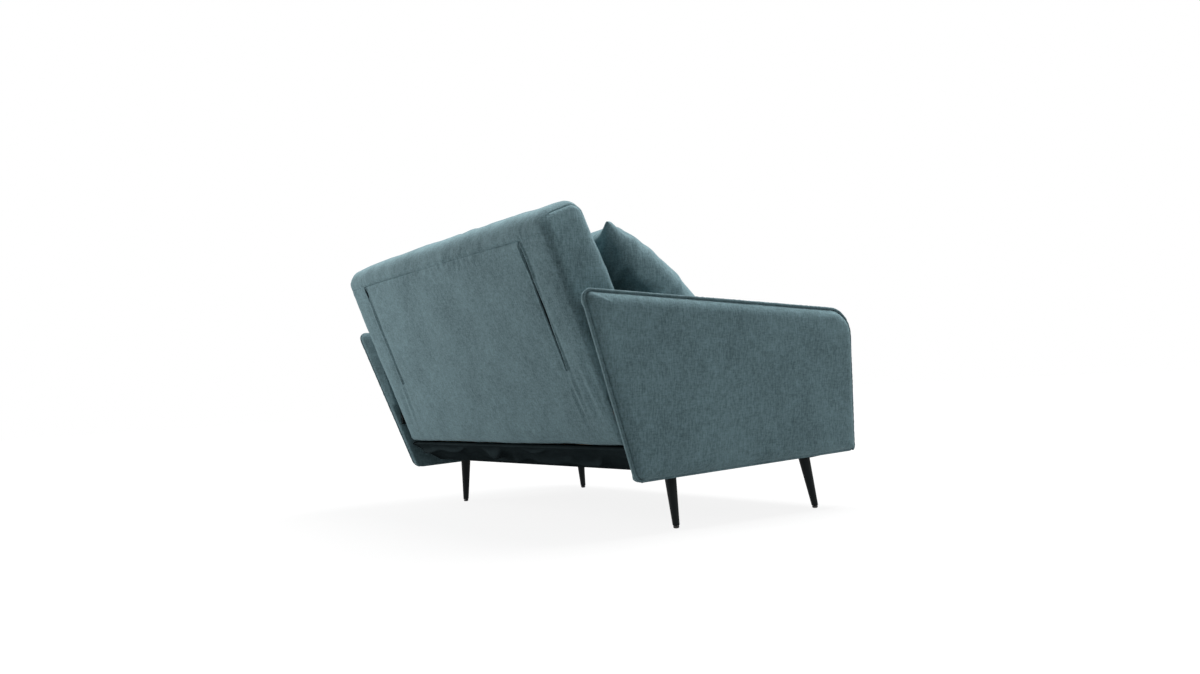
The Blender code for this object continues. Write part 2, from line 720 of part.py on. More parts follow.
def build_seat(root):
    """Springs, deck and the crowned cushion, whose rear face follows the back's slope."""
    for k in range(SPRING_COUNT):
        seat_spring(k + 1, (k - (SPRING_COUNT - 1) / 2) * SPRING_SPACING, root)
    box(
        "seat_deck",
        (-LEAF_HALF_WIDTH, FRONT_RAIL_Y, RAIL_TOP + GAP),
        (LEAF_HALF_WIDTH, SIDE_BOARD_REAR_Y, RAIL_TOP + GAP + DECK_THICKNESS),
        plywood,
        root,
    )
    slope = math.tan(BACK_LEAN)
    front_face = BACK_FOOT - REARWARDS * BACK_THICKNESS
    rear_y = front_face.y + (CUSHION_BOTTOM - front_face.z) * slope - SEAT_REAR_CLEARANCE
    half = Vector((ARM_CLEAR_HALF - SEAT_SIDE_CLEARANCE, (rear_y - SEAT_FRONT_Y) / 2, 0))
    half.z = (SEAT_CUSHION - SEAT_CROWN) / 2
    middle = Vector((0, (rear_y + SEAT_FRONT_Y) / 2, CUSHION_BOTTOM + half.z))

    def plump(co, share):
        full = swell(share.x) * swell(share.y)
        lean = (co.z + half.z) * slope * max(0, share.y)
        return co + Vector((0, lean, SEAT_CROWN * full if share.z > 0 else 0))

    bm = soft_block(half, ((SEAT_EDGE_RADIUS,),) * 3, (7, 5, 0), shape=plump)
    place(smooth(mesh_object("seat_cushion", bm), 60), velvet, root, middle)


# Backrest

def back_at(x, up, depth):
    """A point of the back in its hinge's space, from its height up the slope and depth from the rear."""
    return Vector((x, HINGE_DEPTH - depth, up - HINGE_UP))


def back_box(name, x_range, up_range, depth_range, material, hinge, group=parts):
    corners = [back_at(x, u, d) for x, u, d in zip(x_range, up_range, depth_range)]
    low = [min(pair) for pair in zip(*corners)]
    high = [max(pair) for pair in zip(*corners)]
    return box(name, low, high, material, hinge, group)


def back_slab():
    """The whole upholstered slab: round top and sides, a fuller front, a crisper lower rear edge."""
    half = Vector((BACK_HALF_WIDTH, BACK_THICKNESS / 2, BACK_LENGTH / 2))
    edge_radii = (
        (BACK_SIDE_RADIUS, BACK_CORNER_RADIUS),
        (BACK_SIDE_RADIUS, BACK_EDGE_RADIUS),
        (BACK_EDGE_RADIUS,),
    )
    crown_half = (BACK_LENGTH - BACK_CROWN_START) / 2
    end_zone = half.z - BACK_EDGE_RADIUS

    def rounding(co):
        lower_rear = co.z < 0 and co.y > 0
        end_radius = BACK_FOOT_RADIUS if lower_rear else BACK_EDGE_RADIUS
        near_end = max(0.0, min(1.0, 2 * abs(co.z) / end_zone - 1))
        depth_radius = BACK_SIDE_RADIUS + (end_radius - BACK_SIDE_RADIUS) * near_end
        near_top = near_end if co.z > 0 else 0
        side_radius = BACK_SIDE_RADIUS + (BACK_CORNER_RADIUS - BACK_SIDE_RADIUS) * near_top
        return side_radius, depth_radius, end_radius

    def plump(co, share):
        up = co.z + half.z
        wave = (up - BACK_CROWN_START - crown_half) / crown_half
        full = swell(share.x) * max(0.0, 1 - wave * wave) ** 1.5
        forward = BACK_CROWN * full if share.y < 0 else 0
        return co - Vector((0, forward, 0))

    return soft_block(half, edge_radii, (7, 0, 8), rounding, plump)


def build_back_pads(hinge):
    """The front and rear pads, cut from one slab on either side of the frame."""
    centre = back_at(0, BACK_LENGTH / 2, BACK_THICKNESS / 2)
    rear_cut = BACK_THICKNESS / 2 - BACK_REAR_PAD
    front_cut = BACK_THICKNESS / 2 - FRONT_PAD_DEPTH
    rear = mesh_object("back_rear_pad", keep_side(back_slab(), rear_cut, 1))
    front = mesh_object("back_front_pad", keep_side(back_slab(), front_cut, -1))
    place(smooth(rear, 50), velvet, hinge, centre)
    place(smooth(front, 60), velvet, hinge, centre)
    return rear


def build_back_frame(hinge):
    """Two rails across the ends and two stiles between them, inside the pads."""
    depth = (FRAME_DEPTH, FRAME_DEPTH + BACK_FRAME_THICKNESS)
    low, high = BACK_RAIL_INSET, BACK_LENGTH - BACK_RAIL_INSET
    rail_low, rail_high = low + BACK_RAIL_WIDTH, high - BACK_RAIL_WIDTH
    span = BACK_HALF_WIDTH - BACK_CORNER_RADIUS
    back_box("back_top_rail", (-span, span), (rail_high, high), depth, softwood, hinge)
    back_box("back_bottom_rail", (-span, span), (low, rail_low), depth, softwood, hinge)
    for side in (-1, 1):
        across = (side * (BACK_HALF_WIDTH - BACK_STILE_WIDTH), side * BACK_HALF_WIDTH)
        up = (rail_low + GAP, rail_high - GAP)
        back_box("back_stile_" + side_word(side), across, up, depth, softwood, hinge)


def build_recline_hinge(side, root, hinge, cutter):
    """A bracket with a stub pin on the arm, and a plate with its bore on the back."""
    word = side_word(side)
    plate_inner = BACK_HALF_WIDTH + GAP
    plate_outer = plate_inner + HINGE_PLATE
    bracket_inner = plate_outer + GAP
    outer = ARM_FOOT_HALF + ARM_REAR_HEIGHT * math.tan(ARM_FLARE)
    low_x, high_x = sorted((side * bracket_inner, side * outer))
    low = (low_x, HINGE_POINT.y - HINGE_BLOCK_FRONT, HINGE_POINT.z - HINGE_BLOCK_HEIGHT / 2)
    high = (high_x, HINGE_POINT.y + HINGE_BLOCK_REAR, HINGE_POINT.z + HINGE_BLOCK_HEIGHT / 2)
    bracket = box(word + "_hinge_bracket", low, high, black_metal, root)
    boolean(bracket, cutter)
    pin_start = plate_inner + GAP
    pin_end = bracket_inner + HINGE_PIN_RADIUS
    pin_centre = Vector((side * (pin_start + pin_end) / 2, HINGE_POINT.y, HINGE_POINT.z))
    pin = rod(
        word + "_hinge_pin_shape", pin_centre, "X", HINGE_PIN_RADIUS, pin_end - pin_start, None, root, cutters
    )
    boolean(bracket, pin, "UNION")
    low, high = sorted((side * plate_inner, side * plate_outer))
    arm = plate(
        word + "_hinge_plate",
        [(y, z) for z, y in stadium(HINGE_PLATE_REACH, HINGE_PLATE_RADIUS)],
        low,
        high,
        black_metal,
        hinge,
        UPRIGHT,
    )
    bore = rod(
        word + "_hinge_bore",
        (side * (plate_inner + plate_outer) / 2, 0, 0),
        "X",
        HINGE_PIN_RADIUS + GAP,
        2 * HINGE_PLATE,
        None,
        hinge,
        cutters,
    )
    boolean(arm, bore)


def build_prop(side, hinge, rear_pad):
    """A flat steel prop in its slit, the pin that it swings on and the cleat that carries the pin."""
    word = side_word(side)
    pivot = back_at(side * PROP_X, PROP_PIVOT_UP, PROP_PIVOT_DEPTH)
    axis = empty(word + "_prop_axis", pivot, parent=hinge)
    half = PROP_THICKNESS / 2
    reach = PROP_LENGTH - PROP_HALF_WIDTH
    prop = plate(
        word + "_prop", stadium(reach, PROP_HALF_WIDTH), -half, half, black_metal, axis, UPRIGHT
    )
    bore = rod(
        word + "_prop_bore", (0, 0, 0), "X", PROP_PIN_RADIUS + GAP, 4 * half, None, axis, cutters
    )
    boolean(prop, bore)
    slit_half = half + SLIT_CLEARANCE
    slit_top = PROP_PIVOT_UP + PROP_HALF_WIDTH + SLIT_END_CLEARANCE
    slit_foot = PROP_PIVOT_UP - PROP_LENGTH - SLIT_END_CLEARANCE
    slit = back_box(
        word + "_slit",
        (side * PROP_X - slit_half, side * PROP_X + slit_half),
        (slit_foot, slit_top),
        (-BACK_REAR_PAD, BACK_REAR_PAD * 2),
        None,
        hinge,
        cutters,
    )
    boolean(rear_pad, slit)
    cleat_x = (side * (PROP_X + slit_half + GAP), side * (PROP_X + slit_half + GAP + CLEAT_WIDTH))
    cleat_up = (PROP_PIVOT_UP - CLEAT_HEIGHT / 2, PROP_PIVOT_UP + CLEAT_HEIGHT / 2)
    cleat_depth = (CLEAT_COVER, BACK_REAR_PAD)
    cleat = back_box(word + "_prop_cleat", cleat_x, cleat_up, cleat_depth, softwood, hinge)
    pocket = back_box(
        word + "_cleat_pocket",
        (side * PROP_X, cleat_x[1] + side * GAP),
        (cleat_up[0] - GAP, cleat_up[1] + GAP),
        (CLEAT_COVER - GAP, 2 * BACK_REAR_PAD),
        None,
        hinge,
        cutters,
    )
    boolean(rear_pad, pocket)
    pin_start = PROP_X - half
    pin_end = abs(cleat_x[1])
    pin_middle = (side * (pin_start + pin_end) / 2, pivot.y, pivot.z)
    pin_length = pin_end - pin_start
    rod(word + "_prop_pin", pin_middle, "X", PROP_PIN_RADIUS, pin_length, bare_steel, hinge)
    pin_bore = rod(
        word + "_cleat_bore", pin_middle, "X", PROP_PIN_RADIUS + GAP, 2 * pin_length, None, hinge, cutters
    )
    boolean(cleat, pin_bore)


def build_backrest(root, flares):
    hinge = empty("backrest_hinge", HINGE_POINT, (-BACK_LEAN, 0, 0), root)
    rear_pad = build_back_pads(hinge)
    build_back_frame(hinge)
    for side, cutter in flares.items():
        build_recline_hinge(side, root, hinge, cutter)
        build_prop(side, hinge, rear_pad)


# Front leaf

def leaf_block(name, y_range, z_range, depth_radius, material, parent):
    """A padded layer of the leaf, round along its long edges, in its parent's space."""
    half = Vector((LEAF_HALF_WIDTH, (y_range[1] - y_range[0]) / 2, (z_range[1] - z_range[0]) / 2))
    middle = Vector((0, sum(y_range) / 2, sum(z_range) / 2))
    bm = soft_block(half, ((LEAF_ROUND,), (depth_radius,), (LEAF_ROUND,)), (3, 0, 1))
    return place(smooth(mesh_object(name, bm), 60), material, parent, middle)


def build_leaf_leg(side, axis):
    """A folding leg behind the inner leaf, and the clevis that carries it."""
    word = side_word(side)
    pivot = Vector((side * LEAF_LEG_X, LEAF_LEG_Y - LEAF_AXIS_Y, LEAF_LEG_Z - LEAF_AXIS_Z))
    leg_axis = empty(word + "_leaf_leg_axis", pivot, parent=axis)
    half = LEAF_LEG_DEPTH / 2
    outline = [(side * along, across) for across, along in stadium(LEAF_LEG_LENGTH, LEAF_LEG_RADIUS)]
    leg = plate(word + "_leaf_leg", outline, -half, half, black_metal, leg_axis, LEVEL)
    bore = rod(
        word + "_leg_bore", (0, 0, 0), "Z", CLEVIS_PIN_RADIUS + GAP, 4 * half, None, leg_axis, cutters
    )
    boolean(leg, bore)
    front = LEAF_BACK_Y + GAP - LEAF_LEG_Y
    ear_half = half + RUNNING_GAP
    clevis = box(
        word + "_leg_clevis",
        (-LEAF_LEG_RADIUS, front, -ear_half - CLEVIS_EAR),
        (LEAF_LEG_RADIUS, LEAF_LEG_RADIUS, ear_half + CLEVIS_EAR),
        bare_steel,
        leg_axis,
    )
    mouth = box(
        word + "_clevis_mouth",
        (-2 * LEAF_LEG_RADIUS, front + CLEVIS_PLATE, -ear_half),
        (2 * LEAF_LEG_RADIUS, 2 * LEAF_LEG_RADIUS, ear_half),
        None,
        leg_axis,
        cutters,
    )
    boolean(clevis, mouth)
    pin_length = 2 * ear_half + CLEVIS_EAR
    pin = rod(
        word + "_clevis_pin", (0, 0, 0), "Z", CLEVIS_PIN_RADIUS, pin_length, None, leg_axis, cutters
    )
    boolean(clevis, pin, "UNION")


def build_leaf(root):
    """The two hanging panels, the cloth tape that joins them, the inner one's rod and its legs."""
    axis = empty("leaf_axis", (0, LEAF_AXIS_Y, LEAF_AXIS_Z), parent=root)
    fold = empty("leaf_fold", (0, FOLD_Y - LEAF_AXIS_Y, LEAF_BOTTOM - LEAF_AXIS_Z), parent=axis)
    low = LEAF_BOTTOM + LEAF_END_GAP - LEAF_AXIS_Z
    high = LEAF_TOP - LEAF_AXIS_Z
    pad_y = (INNER_PAD_Y - LEAF_AXIS_Y, INNER_PAD_Y + LEAF_PAD - LEAF_AXIS_Y)
    leaf_block("inner_leaf_pad", pad_y, (low, high), LEAF_PAD / 3, velvet, axis)
    board_half = LEAF_BOARD / 2
    board = box(
        "inner_leaf_board",
        (-LEAF_HALF_WIDTH, -board_half, low),
        (LEAF_HALF_WIDTH, board_half, high),
        plywood,
        axis,
    )
    tape_y = (FOLD_Y - LEAF_COVER + GAP - LEAF_AXIS_Y, INNER_PAD_Y - GAP - LEAF_AXIS_Y)
    box(
        "leaf_hinge_tape",
        (LEAF_ROUND - LEAF_HALF_WIDTH, tape_y[0], low + LEAF_ROUND),
        (LEAF_HALF_WIDTH - LEAF_ROUND, tape_y[1], low + LEAF_ROUND + LEAF_TAPE_WIDTH),
        black_cloth,
        axis,
    )
    rod_length = 2 * (ARM_CLEAR_HALF - GAP)
    rod("leaf_rod", (0, LEAF_AXIS_Y, LEAF_AXIS_Z), "X", LEAF_ROD_RADIUS, rod_length, bare_steel, root)
    bore = rod(
        "leaf_rod_bore", (0, 0, 0), "X", LEAF_ROD_RADIUS + GAP, rod_length, None, axis, cutters
    )
    boolean(board, bore)
    low, high = LEAF_END_GAP, LEAF_TOP - LEAF_BOTTOM
    fascia_y = (FASCIA_Y - FOLD_Y, FASCIA_Y + FASCIA_PAD - FOLD_Y)
    leaf_block("fascia_pad", fascia_y, (low, high), LEAF_ROUND, velvet, fold)
    board_y = OUTER_BOARD_Y - FOLD_Y
    box(
        "outer_leaf_board",
        (-LEAF_HALF_WIDTH, board_y, low),
        (LEAF_HALF_WIDTH, board_y + LEAF_BOARD, high),
        plywood,
        fold,
    )
    for side in (-1, 1):
        build_leaf_leg(side, axis)


# Pillow

def pillow_pole(start, end, turn):
    """The point about which one turn carries the pillow's middle from start to end."""
    step = end - start
    return (start + end) / 2 + Vector((0, step.z, -step.y)) / (2 * math.tan(turn / 2))


def build_pillow(root):
    """A square pillow with pointed corners and drawn-in edges, seated on the cushion."""
    half = PILLOW_SIZE / 2
    edge = PILLOW_EDGE / 2
    bm = bmesh.new()
    bmesh.ops.create_cube(bm, size=2)
    for normal in (Vector((1, 0, 0)), Vector((0, 0, 1))):
        for cut in (0, *PILLOW_CUTS, *[-share for share in PILLOW_CUTS]):
            everything = bm.verts[:] + bm.edges[:] + bm.faces[:]
            bmesh.ops.bisect_plane(bm, geom=everything, plane_co=normal * cut, plane_no=normal)
    for vert in bm.verts:
        a, c, b = vert.co
        fill = max(0.0, (1 - a * a) * (1 - b * b)) ** PILLOW_FULLNESS
        x = half * a * (1 - PILLOW_PINCH * (1 - b * b) * a * a)
        z = half * b * (1 - PILLOW_PINCH * (1 - a * a) * b * b)
        depth = PILLOW_FRONT if c < 0 else PILLOW_REAR
        vert.co = (x, c * (edge + (depth - edge) * fill), z)
    lean = Matrix.Rotation(-PILLOW_LEAN, 3, "X")
    height = -min((lean @ vert.co).z for vert in bm.verts)
    middle = Vector((PILLOW_X, PILLOW_Y, SEAT_TOP + GAP - PILLOW_SEAT_DIP + height))
    flat = Vector((PILLOW_X, PILLOW_FLAT_Y, SEAT_TOP + PILLOW_REAR + PILLOW_FLAT_CLEARANCE))
    pole = pillow_pole(middle, flat, math.pi / 2 - PILLOW_LEAN)
    axis = empty("pillow_axis", pole, parent=root)
    pillow = place(smooth(mesh_object("throw_pillow", bm), 70), velvet, axis, middle - pole)
    pillow.rotation_euler = (-PILLOW_LEAN, 0, 0)


# Assembly

centre = empty("loveseat_centre", (0, -CENTRE_Y, 0))
arm_flares = {}
for arm_side in (-1, 1):
    arm_flares[arm_side] = build_arm(arm_side, centre)
build_base(centre, arm_flares)
build_legs(centre)
build_seat(centre)
build_backrest(centre, arm_flares)
build_leaf(centre)
build_pillow(centre)
bpy.context.view_layer.update()
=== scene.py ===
import json
import math

import bmesh
import bpy
import numpy as np
from mathutils import Matrix, Vector


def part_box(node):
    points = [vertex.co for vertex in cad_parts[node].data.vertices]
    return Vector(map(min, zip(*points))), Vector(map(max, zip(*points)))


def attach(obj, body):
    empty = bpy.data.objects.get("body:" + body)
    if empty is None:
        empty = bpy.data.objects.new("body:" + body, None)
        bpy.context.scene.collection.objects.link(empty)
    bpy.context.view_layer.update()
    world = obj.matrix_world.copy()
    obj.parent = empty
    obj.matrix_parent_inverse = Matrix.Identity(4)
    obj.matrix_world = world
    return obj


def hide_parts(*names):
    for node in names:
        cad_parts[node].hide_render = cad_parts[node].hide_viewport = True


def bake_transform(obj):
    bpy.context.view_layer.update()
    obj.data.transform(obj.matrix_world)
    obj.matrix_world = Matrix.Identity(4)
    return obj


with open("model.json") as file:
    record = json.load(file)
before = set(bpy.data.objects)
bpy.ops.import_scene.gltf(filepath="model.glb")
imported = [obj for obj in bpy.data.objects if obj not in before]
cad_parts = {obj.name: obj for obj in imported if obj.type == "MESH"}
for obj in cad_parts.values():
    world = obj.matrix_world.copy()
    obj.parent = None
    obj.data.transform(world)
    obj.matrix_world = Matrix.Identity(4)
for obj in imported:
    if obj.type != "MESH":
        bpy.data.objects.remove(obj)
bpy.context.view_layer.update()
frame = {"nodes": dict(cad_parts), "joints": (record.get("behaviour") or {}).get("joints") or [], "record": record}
nodes = frame["nodes"]
joints = {joint["name"]: joint for joint in frame["joints"]}
sides = {"left": -1, "right": 1}
print("frame loaded with", len(nodes), "nodes")

# where the frame's own lines run
backLean = math.radians(90 - joints["backrest_recline"]["range_deg"][1])
backRise = np.array((0, math.sin(backLean), math.cos(backLean)))  # up the slope
backRear = np.array((0, math.cos(backLean), -math.sin(backLean)))  # out of the rear face


# measuring and smooth numbers

def nodePoints(name):
    return np.array([vertex.co for vertex in nodes[name].data.vertices])


def span(name, direction):
    reach = nodePoints(name) @ np.asarray(direction)
    return reach.min(), reach.max()


def unit(vectors):
    return vectors / np.linalg.norm(vectors, axis=-1, keepdims=True)


def turned(x, y, angle):
    return np.stack((np.cos(angle) * x - np.sin(angle) * y, np.sin(angle) * x + np.cos(angle) * y), -1)


def ease(t):
    t = np.clip(t, 0, 1)
    return t * t * (3 - 2 * t)


def bump(t):  # a round hump between -1 and 1
    return np.clip(1 - t * t, 0, 1) ** 2


def bell(t):
    return np.exp(-t ** 2)


def waves(points, size, seed, count=18):  # a smooth random field with features of about this size
    chance = np.random.default_rng(seed)
    total = np.zeros(points.shape[:-1])
    for _ in range(count):
        direction = unit(chance.normal(size=3))
        pitch = 2 * math.pi / size * chance.uniform(0.6, 1.5)
        total += np.sin(points @ direction * pitch + chance.uniform(0, 2 * math.pi))
    return total / math.sqrt(count / 2)


# outlines and skins

arcSteps, pathStep = 25, 0.002  # points on a rounded corner, and the step at which outlines are measured


def oblong(low, high):
    return [low, (high[0], low[1]), high, (low[0], high[1])]


def roundedLoop(corners, radii, spacing):  # anticlockwise outline: points, outward normals, length from the start
    corners = np.array(corners, float)
    path = []
    for i, radius in enumerate(radii):
        here = corners[i]
        before, after = unit(corners[i - 1] - here), unit(corners[(i + 1) % len(corners)] - here)
        half = math.acos(np.clip(before @ after, -1, 1)) / 2
        centre = here + unit(before + after) * radius / math.sin(half)
        first = here + before * radius / math.tan(half) - centre
        path += list(centre + turned(*first, np.linspace(0, math.pi - 2 * half, arcSteps)))
    path = np.array(path + [path[0]])
    counts = [max(2, int(math.dist(p, q) / pathStep)) for p, q in zip(path, path[1:])]
    cuts = [np.linspace(p, q, count, endpoint=False) for p, q, count in zip(path, path[1:], counts)]
    path = np.vstack(cuts + [path[:1]])
    steps = np.linalg.norm(np.diff(path, axis=0), axis=1)
    fineness = steps / (spacing((path[1:] + path[:-1]) / 2) if callable(spacing) else spacing)
    along, lengths = (np.concatenate(([0], np.cumsum(part))) for part in (fineness, steps))
    count = max(12, int(round(along[-1])))
    at = np.arange(count) * along[-1] / count
    points = np.stack([np.interp(at, along, path[:, k]) for k in range(2)], 1)
    tangent = unit(np.roll(points, -1, 0) - np.roll(points, 1, 0))
    return points, np.stack((tangent[:, 1], -tangent[:, 0]), 1), np.interp(at, along, lengths)


def newMesh(name, points, faces):
    mesh = bpy.data.meshes.new(name)
    mesh.from_pydata(np.asarray(points).tolist(), [], faces)
    bm = bmesh.new()
    bm.from_mesh(mesh)
    bmesh.ops.recalc_face_normals(bm, faces=bm.faces)
    bm.to_mesh(mesh)
    bm.free()
    return mesh


def linked(name, data):
    piece = bpy.data.objects.new(name, data)
    bpy.context.scene.collection.objects.link(piece)
    return piece


def makeObject(name, points, faces):
    mesh = newMesh(name, points, faces)
    mesh.shade_smooth()
    return linked(name, mesh)


def normalsOf(points, faces):
    mesh = newMesh("normals", points, faces)
    normals = np.zeros(len(points) * 3, np.float32)
    mesh.vertex_normals.foreach_get("vector", normals)
    bpy.data.meshes.remove(mesh)
    return normals.reshape(-1, 3).astype(float)


def raised(points, faces, height):
    return points + normalsOf(points, faces) * height[:, None]


def ringFaces(count, around, closed=True):  # quads between neighbouring rings of the same number of points
    first = np.arange(around)
    after = np.roll(first, -1)
    if not closed:
        first, after = first[:-1], after[:-1]
    rows = [np.stack((first, after, after + around, first + around), 1) + r * around for r in range(count - 1)]
    return np.vstack(rows).tolist()


def skinFaces(count, around):  # rings, closed at both ends by a point
    faces = ringFaces(count, around)
    start, last = count * around, (count - 1) * around
    for k in range(around):
        after = (k + 1) % around
        faces += [(k, start, after), (last + k, last + after, start + 1)]
    return faces


def skinPoints(rings):
    rings = np.asarray(rings)
    return np.vstack((rings.reshape(-1, 3), rings[0].mean(0), rings[-1].mean(0)))


def skin(name, rings):
    return makeObject(name, skinPoints(rings), skinFaces(*np.asarray(rings).shape[:2]))


def stations(halfWidth, radius, spacing, extra=()):  # places across a slab: x, inset of its section, size of its cap
    flat = halfWidth - radius
    plain = np.linspace(-flat, flat, int(2 * flat / spacing) + 1)
    extra = np.array(sorted(extra))
    if len(extra):
        plain = plain[np.abs(plain[:, None] - extra[None]).min(1) > spacing * 0.35]
    middle = [(x, 0.0, 1.0) for x in sorted(np.concatenate((plain, extra)))]
    turn = np.radians((12, 24, 34, 41, 45, 48, 51, 54, 57, 63, 75, 90))  # closest at the side seam
    right = [(flat + radius * math.sin(a), radius * (1 - math.cos(a)), 1.0) for a in turn]
    right += [(halfWidth, radius, size) for size in (0.85, 0.65, 0.4, 0.15)]
    return [(-x, inset, size) for x, inset, size in reversed(right)] + middle + right


def slabRings(section, normals, places):  # (x, a, b) of every point of a slab whose section is in (a, b)
    centre = (section.min(0) + section.max(0)) / 2
    rings = []
    for x, inset, size in places:
        flat = centre + (section - normals * inset - centre) * size
        rings.append(np.column_stack((np.full(len(flat), x), flat)))
    return np.array(rings)


# cloth

clothFrames = 16
clothRun = dict(
    quality=4,
    mass=0.25,
    tension_stiffness=12.0,
    compression_stiffness=12.0,
    bending_stiffness=0.4,
    use_pressure=True,
    vertex_group_mass="held",
)


def swollen(points, faces, held, pressure, cap):  # blows a skin up like a filled cover; held points stay
    piece = makeObject("filling", points, faces)
    keeper = piece.vertex_groups.new(name="held")
    keeper.add([int(i) for i in np.flatnonzero(held)], 1.0, "REPLACE")
    cloth = piece.modifiers.new("fill", "CLOTH")
    for key, value in clothRun.items():
        setattr(cloth.settings, key, value)
    cloth.settings.uniform_pressure_force = pressure
    cloth.settings.effector_weights.gravity = 0
    cloth.collision_settings.use_collision = False
    cloth.point_cache.frame_start = 1
    cloth.point_cache.frame_end = clothFrames
    scene = bpy.context.scene
    for number in range(1, clothFrames + 1):
        scene.frame_set(number)
    result = piece.evaluated_get(bpy.context.evaluated_depsgraph_get()).data
    after = np.zeros(len(points) * 3, np.float32)
    result.vertices.foreach_get("co", after)
    normals = normalsOf(points, faces)
    rise = ((after.reshape(-1, 3).astype(float) - points) * normals).sum(1)
    mesh = piece.data
    bpy.data.objects.remove(piece)
    bpy.data.meshes.remove(mesh)
    scene.frame_set(1)
    return normals * np.clip(rise, 0, cap)[:, None]  # a filled cover never lies inside its form


def weightsBetween(coarse, fine):  # where each fine place lies among coarse ones
    index = np.clip(np.searchsorted(coarse, fine) - 1, 0, len(coarse) - 2)
    share = (fine - coarse[index]) / np.maximum(coarse[index + 1] - coarse[index], 1e-9)
    return index, np.clip(share, 0, 1)


def carryOver(field, coarseAcross, coarseAround, fineAcross, fineAround):  # a coarse run's moves on a finer skin
    i, a = weightsBetween(coarseAcross, fineAcross)
    rows = field[i] * (1 - a)[:, None, None] + field[i + 1] * a[:, None, None]
    wrapped = np.concatenate((rows, rows[:, :1]), 1)
    j, b = weightsBetween(np.append(coarseAround, 1.0), fineAround)
    return wrapped[:, j] * (1 - b)[None, :, None] + wrapped[:, j + 1] * b[None, :, None]


def paddedSlab(name, corners, radii, look, place, held, shape, extra=()):
    # a padded slab: a coarse skin is filled in a cloth run, and its swelling is carried to the fine skin
    def laidOut(around, across, extra=()):  # its points, and where they lie across and around it
        section, normals, lengths = roundedLoop(corners, radii, around)
        places = stations(look["halfWidth"], look["sideRadius"], across, extra)
        x, cap = (np.array([place[k] for place in places]) for k in (0, 2))
        total = lengths[-1] + np.linalg.norm(section[0] - section[-1])
        return slabRings(section, normals, places), x + np.sign(x) * (1 - cap) * 0.2, lengths / total

    spacing = look["spacing"]
    local, across, around = laidOut(spacing["around"], spacing["across"], extra)
    rings = place(local)
    rough, roughAcross, roughAround = laidOut(spacing["rough"], spacing["rough"])
    still = np.append(held(rough).reshape(-1), [False, False])
    field = swollen(skinPoints(place(rough)), skinFaces(*rough.shape[:2]), still, **look["run"])
    rings = rings + carryOver(field[:-2].reshape(rough.shape), roughAcross, roughAround, across, around)
    faces = skinFaces(*local.shape[:2])
    piece = makeObject(name, shape(skinPoints(rings), faces, skinPoints(local)), faces)
    print(name, "made with", len(piece.data.vertices), "points")
    return piece


# shader groups

def plug(tree, socket, value):  # a link or a plain value
    if isinstance(value, bpy.types.NodeSocket):
        tree.links.new(value, socket)
    else:
        socket.default_value = value


def add(tree, kind, links=None, **values):  # one node, with its settings and its inputs' values or links
    node = tree.nodes.new("ShaderNode" + kind)
    for key, value in values.items():
        setattr(node, key, value)
    for label, value in (links or {}).items():
        plug(tree, node.inputs[label], value)
    return node


def ramp(tree, value, low, high, start=0.0, end=1.0):  # start below low, end above high
    links = {"Value": value, "From Min": low, "From Max": high, "To Min": start, "To Max": end}
    return add(tree, "MapRange", links, clamp=True).outputs[0]


def mixed(tree, share, first, second, blend="MIX"):
    return add(tree, "Mix", {0: share, 6: first, 7: second}, data_type="RGBA", blend_type=blend).outputs[2]


def maths(tree, operation, *values):
    return add(tree, "Math", dict(enumerate(values)), operation=operation).outputs[0]


def weighted(tree, *parts):  # a sum of values times their shares
    total = None
    for value, share in parts:
        term = maths(tree, "MULTIPLY", value, share)
        total = term if total is None else maths(tree, "ADD", total, term)
    return total


def stretched(tree, *scale):  # the piece's own coordinates, stretched
    place = add(tree, "TexCoord").outputs["Object"]
    return add(tree, "Mapping", {"Vector": place, "Scale": scale}).outputs[0]


def noiseAt(tree, vector, scale, detail=4.0, roughness=0.55):
    values = {"Vector": vector, "Scale": scale, "Detail": detail, "Roughness": roughness}
    return add(tree, "TexNoise", values).outputs[0]


def newGroup(name, **inputs):  # an effect with colours and values to set; it gives a colour, a roughness and a height
    group = bpy.data.node_groups.new(name, "ShaderNodeTree")
    for label, value in inputs.items():
        kind = "NodeSocketFloat" if isinstance(value, float) else "NodeSocketColor"
        group.interface.new_socket(label, in_out="INPUT", socket_type=kind).default_value = value
    for label, kind in (("Color", "Color"), ("Roughness", "Float"), ("Height", "Float")):
        group.interface.new_socket(label, in_out="OUTPUT", socket_type="NodeSocket" + kind)
    return group, group.nodes.new("NodeGroupInput").outputs


def putOut(group, *results):
    end = group.nodes.new("NodeGroupOutput")
    for socket, value in zip(end.inputs, results):
        plug(group, socket, value)
    return group


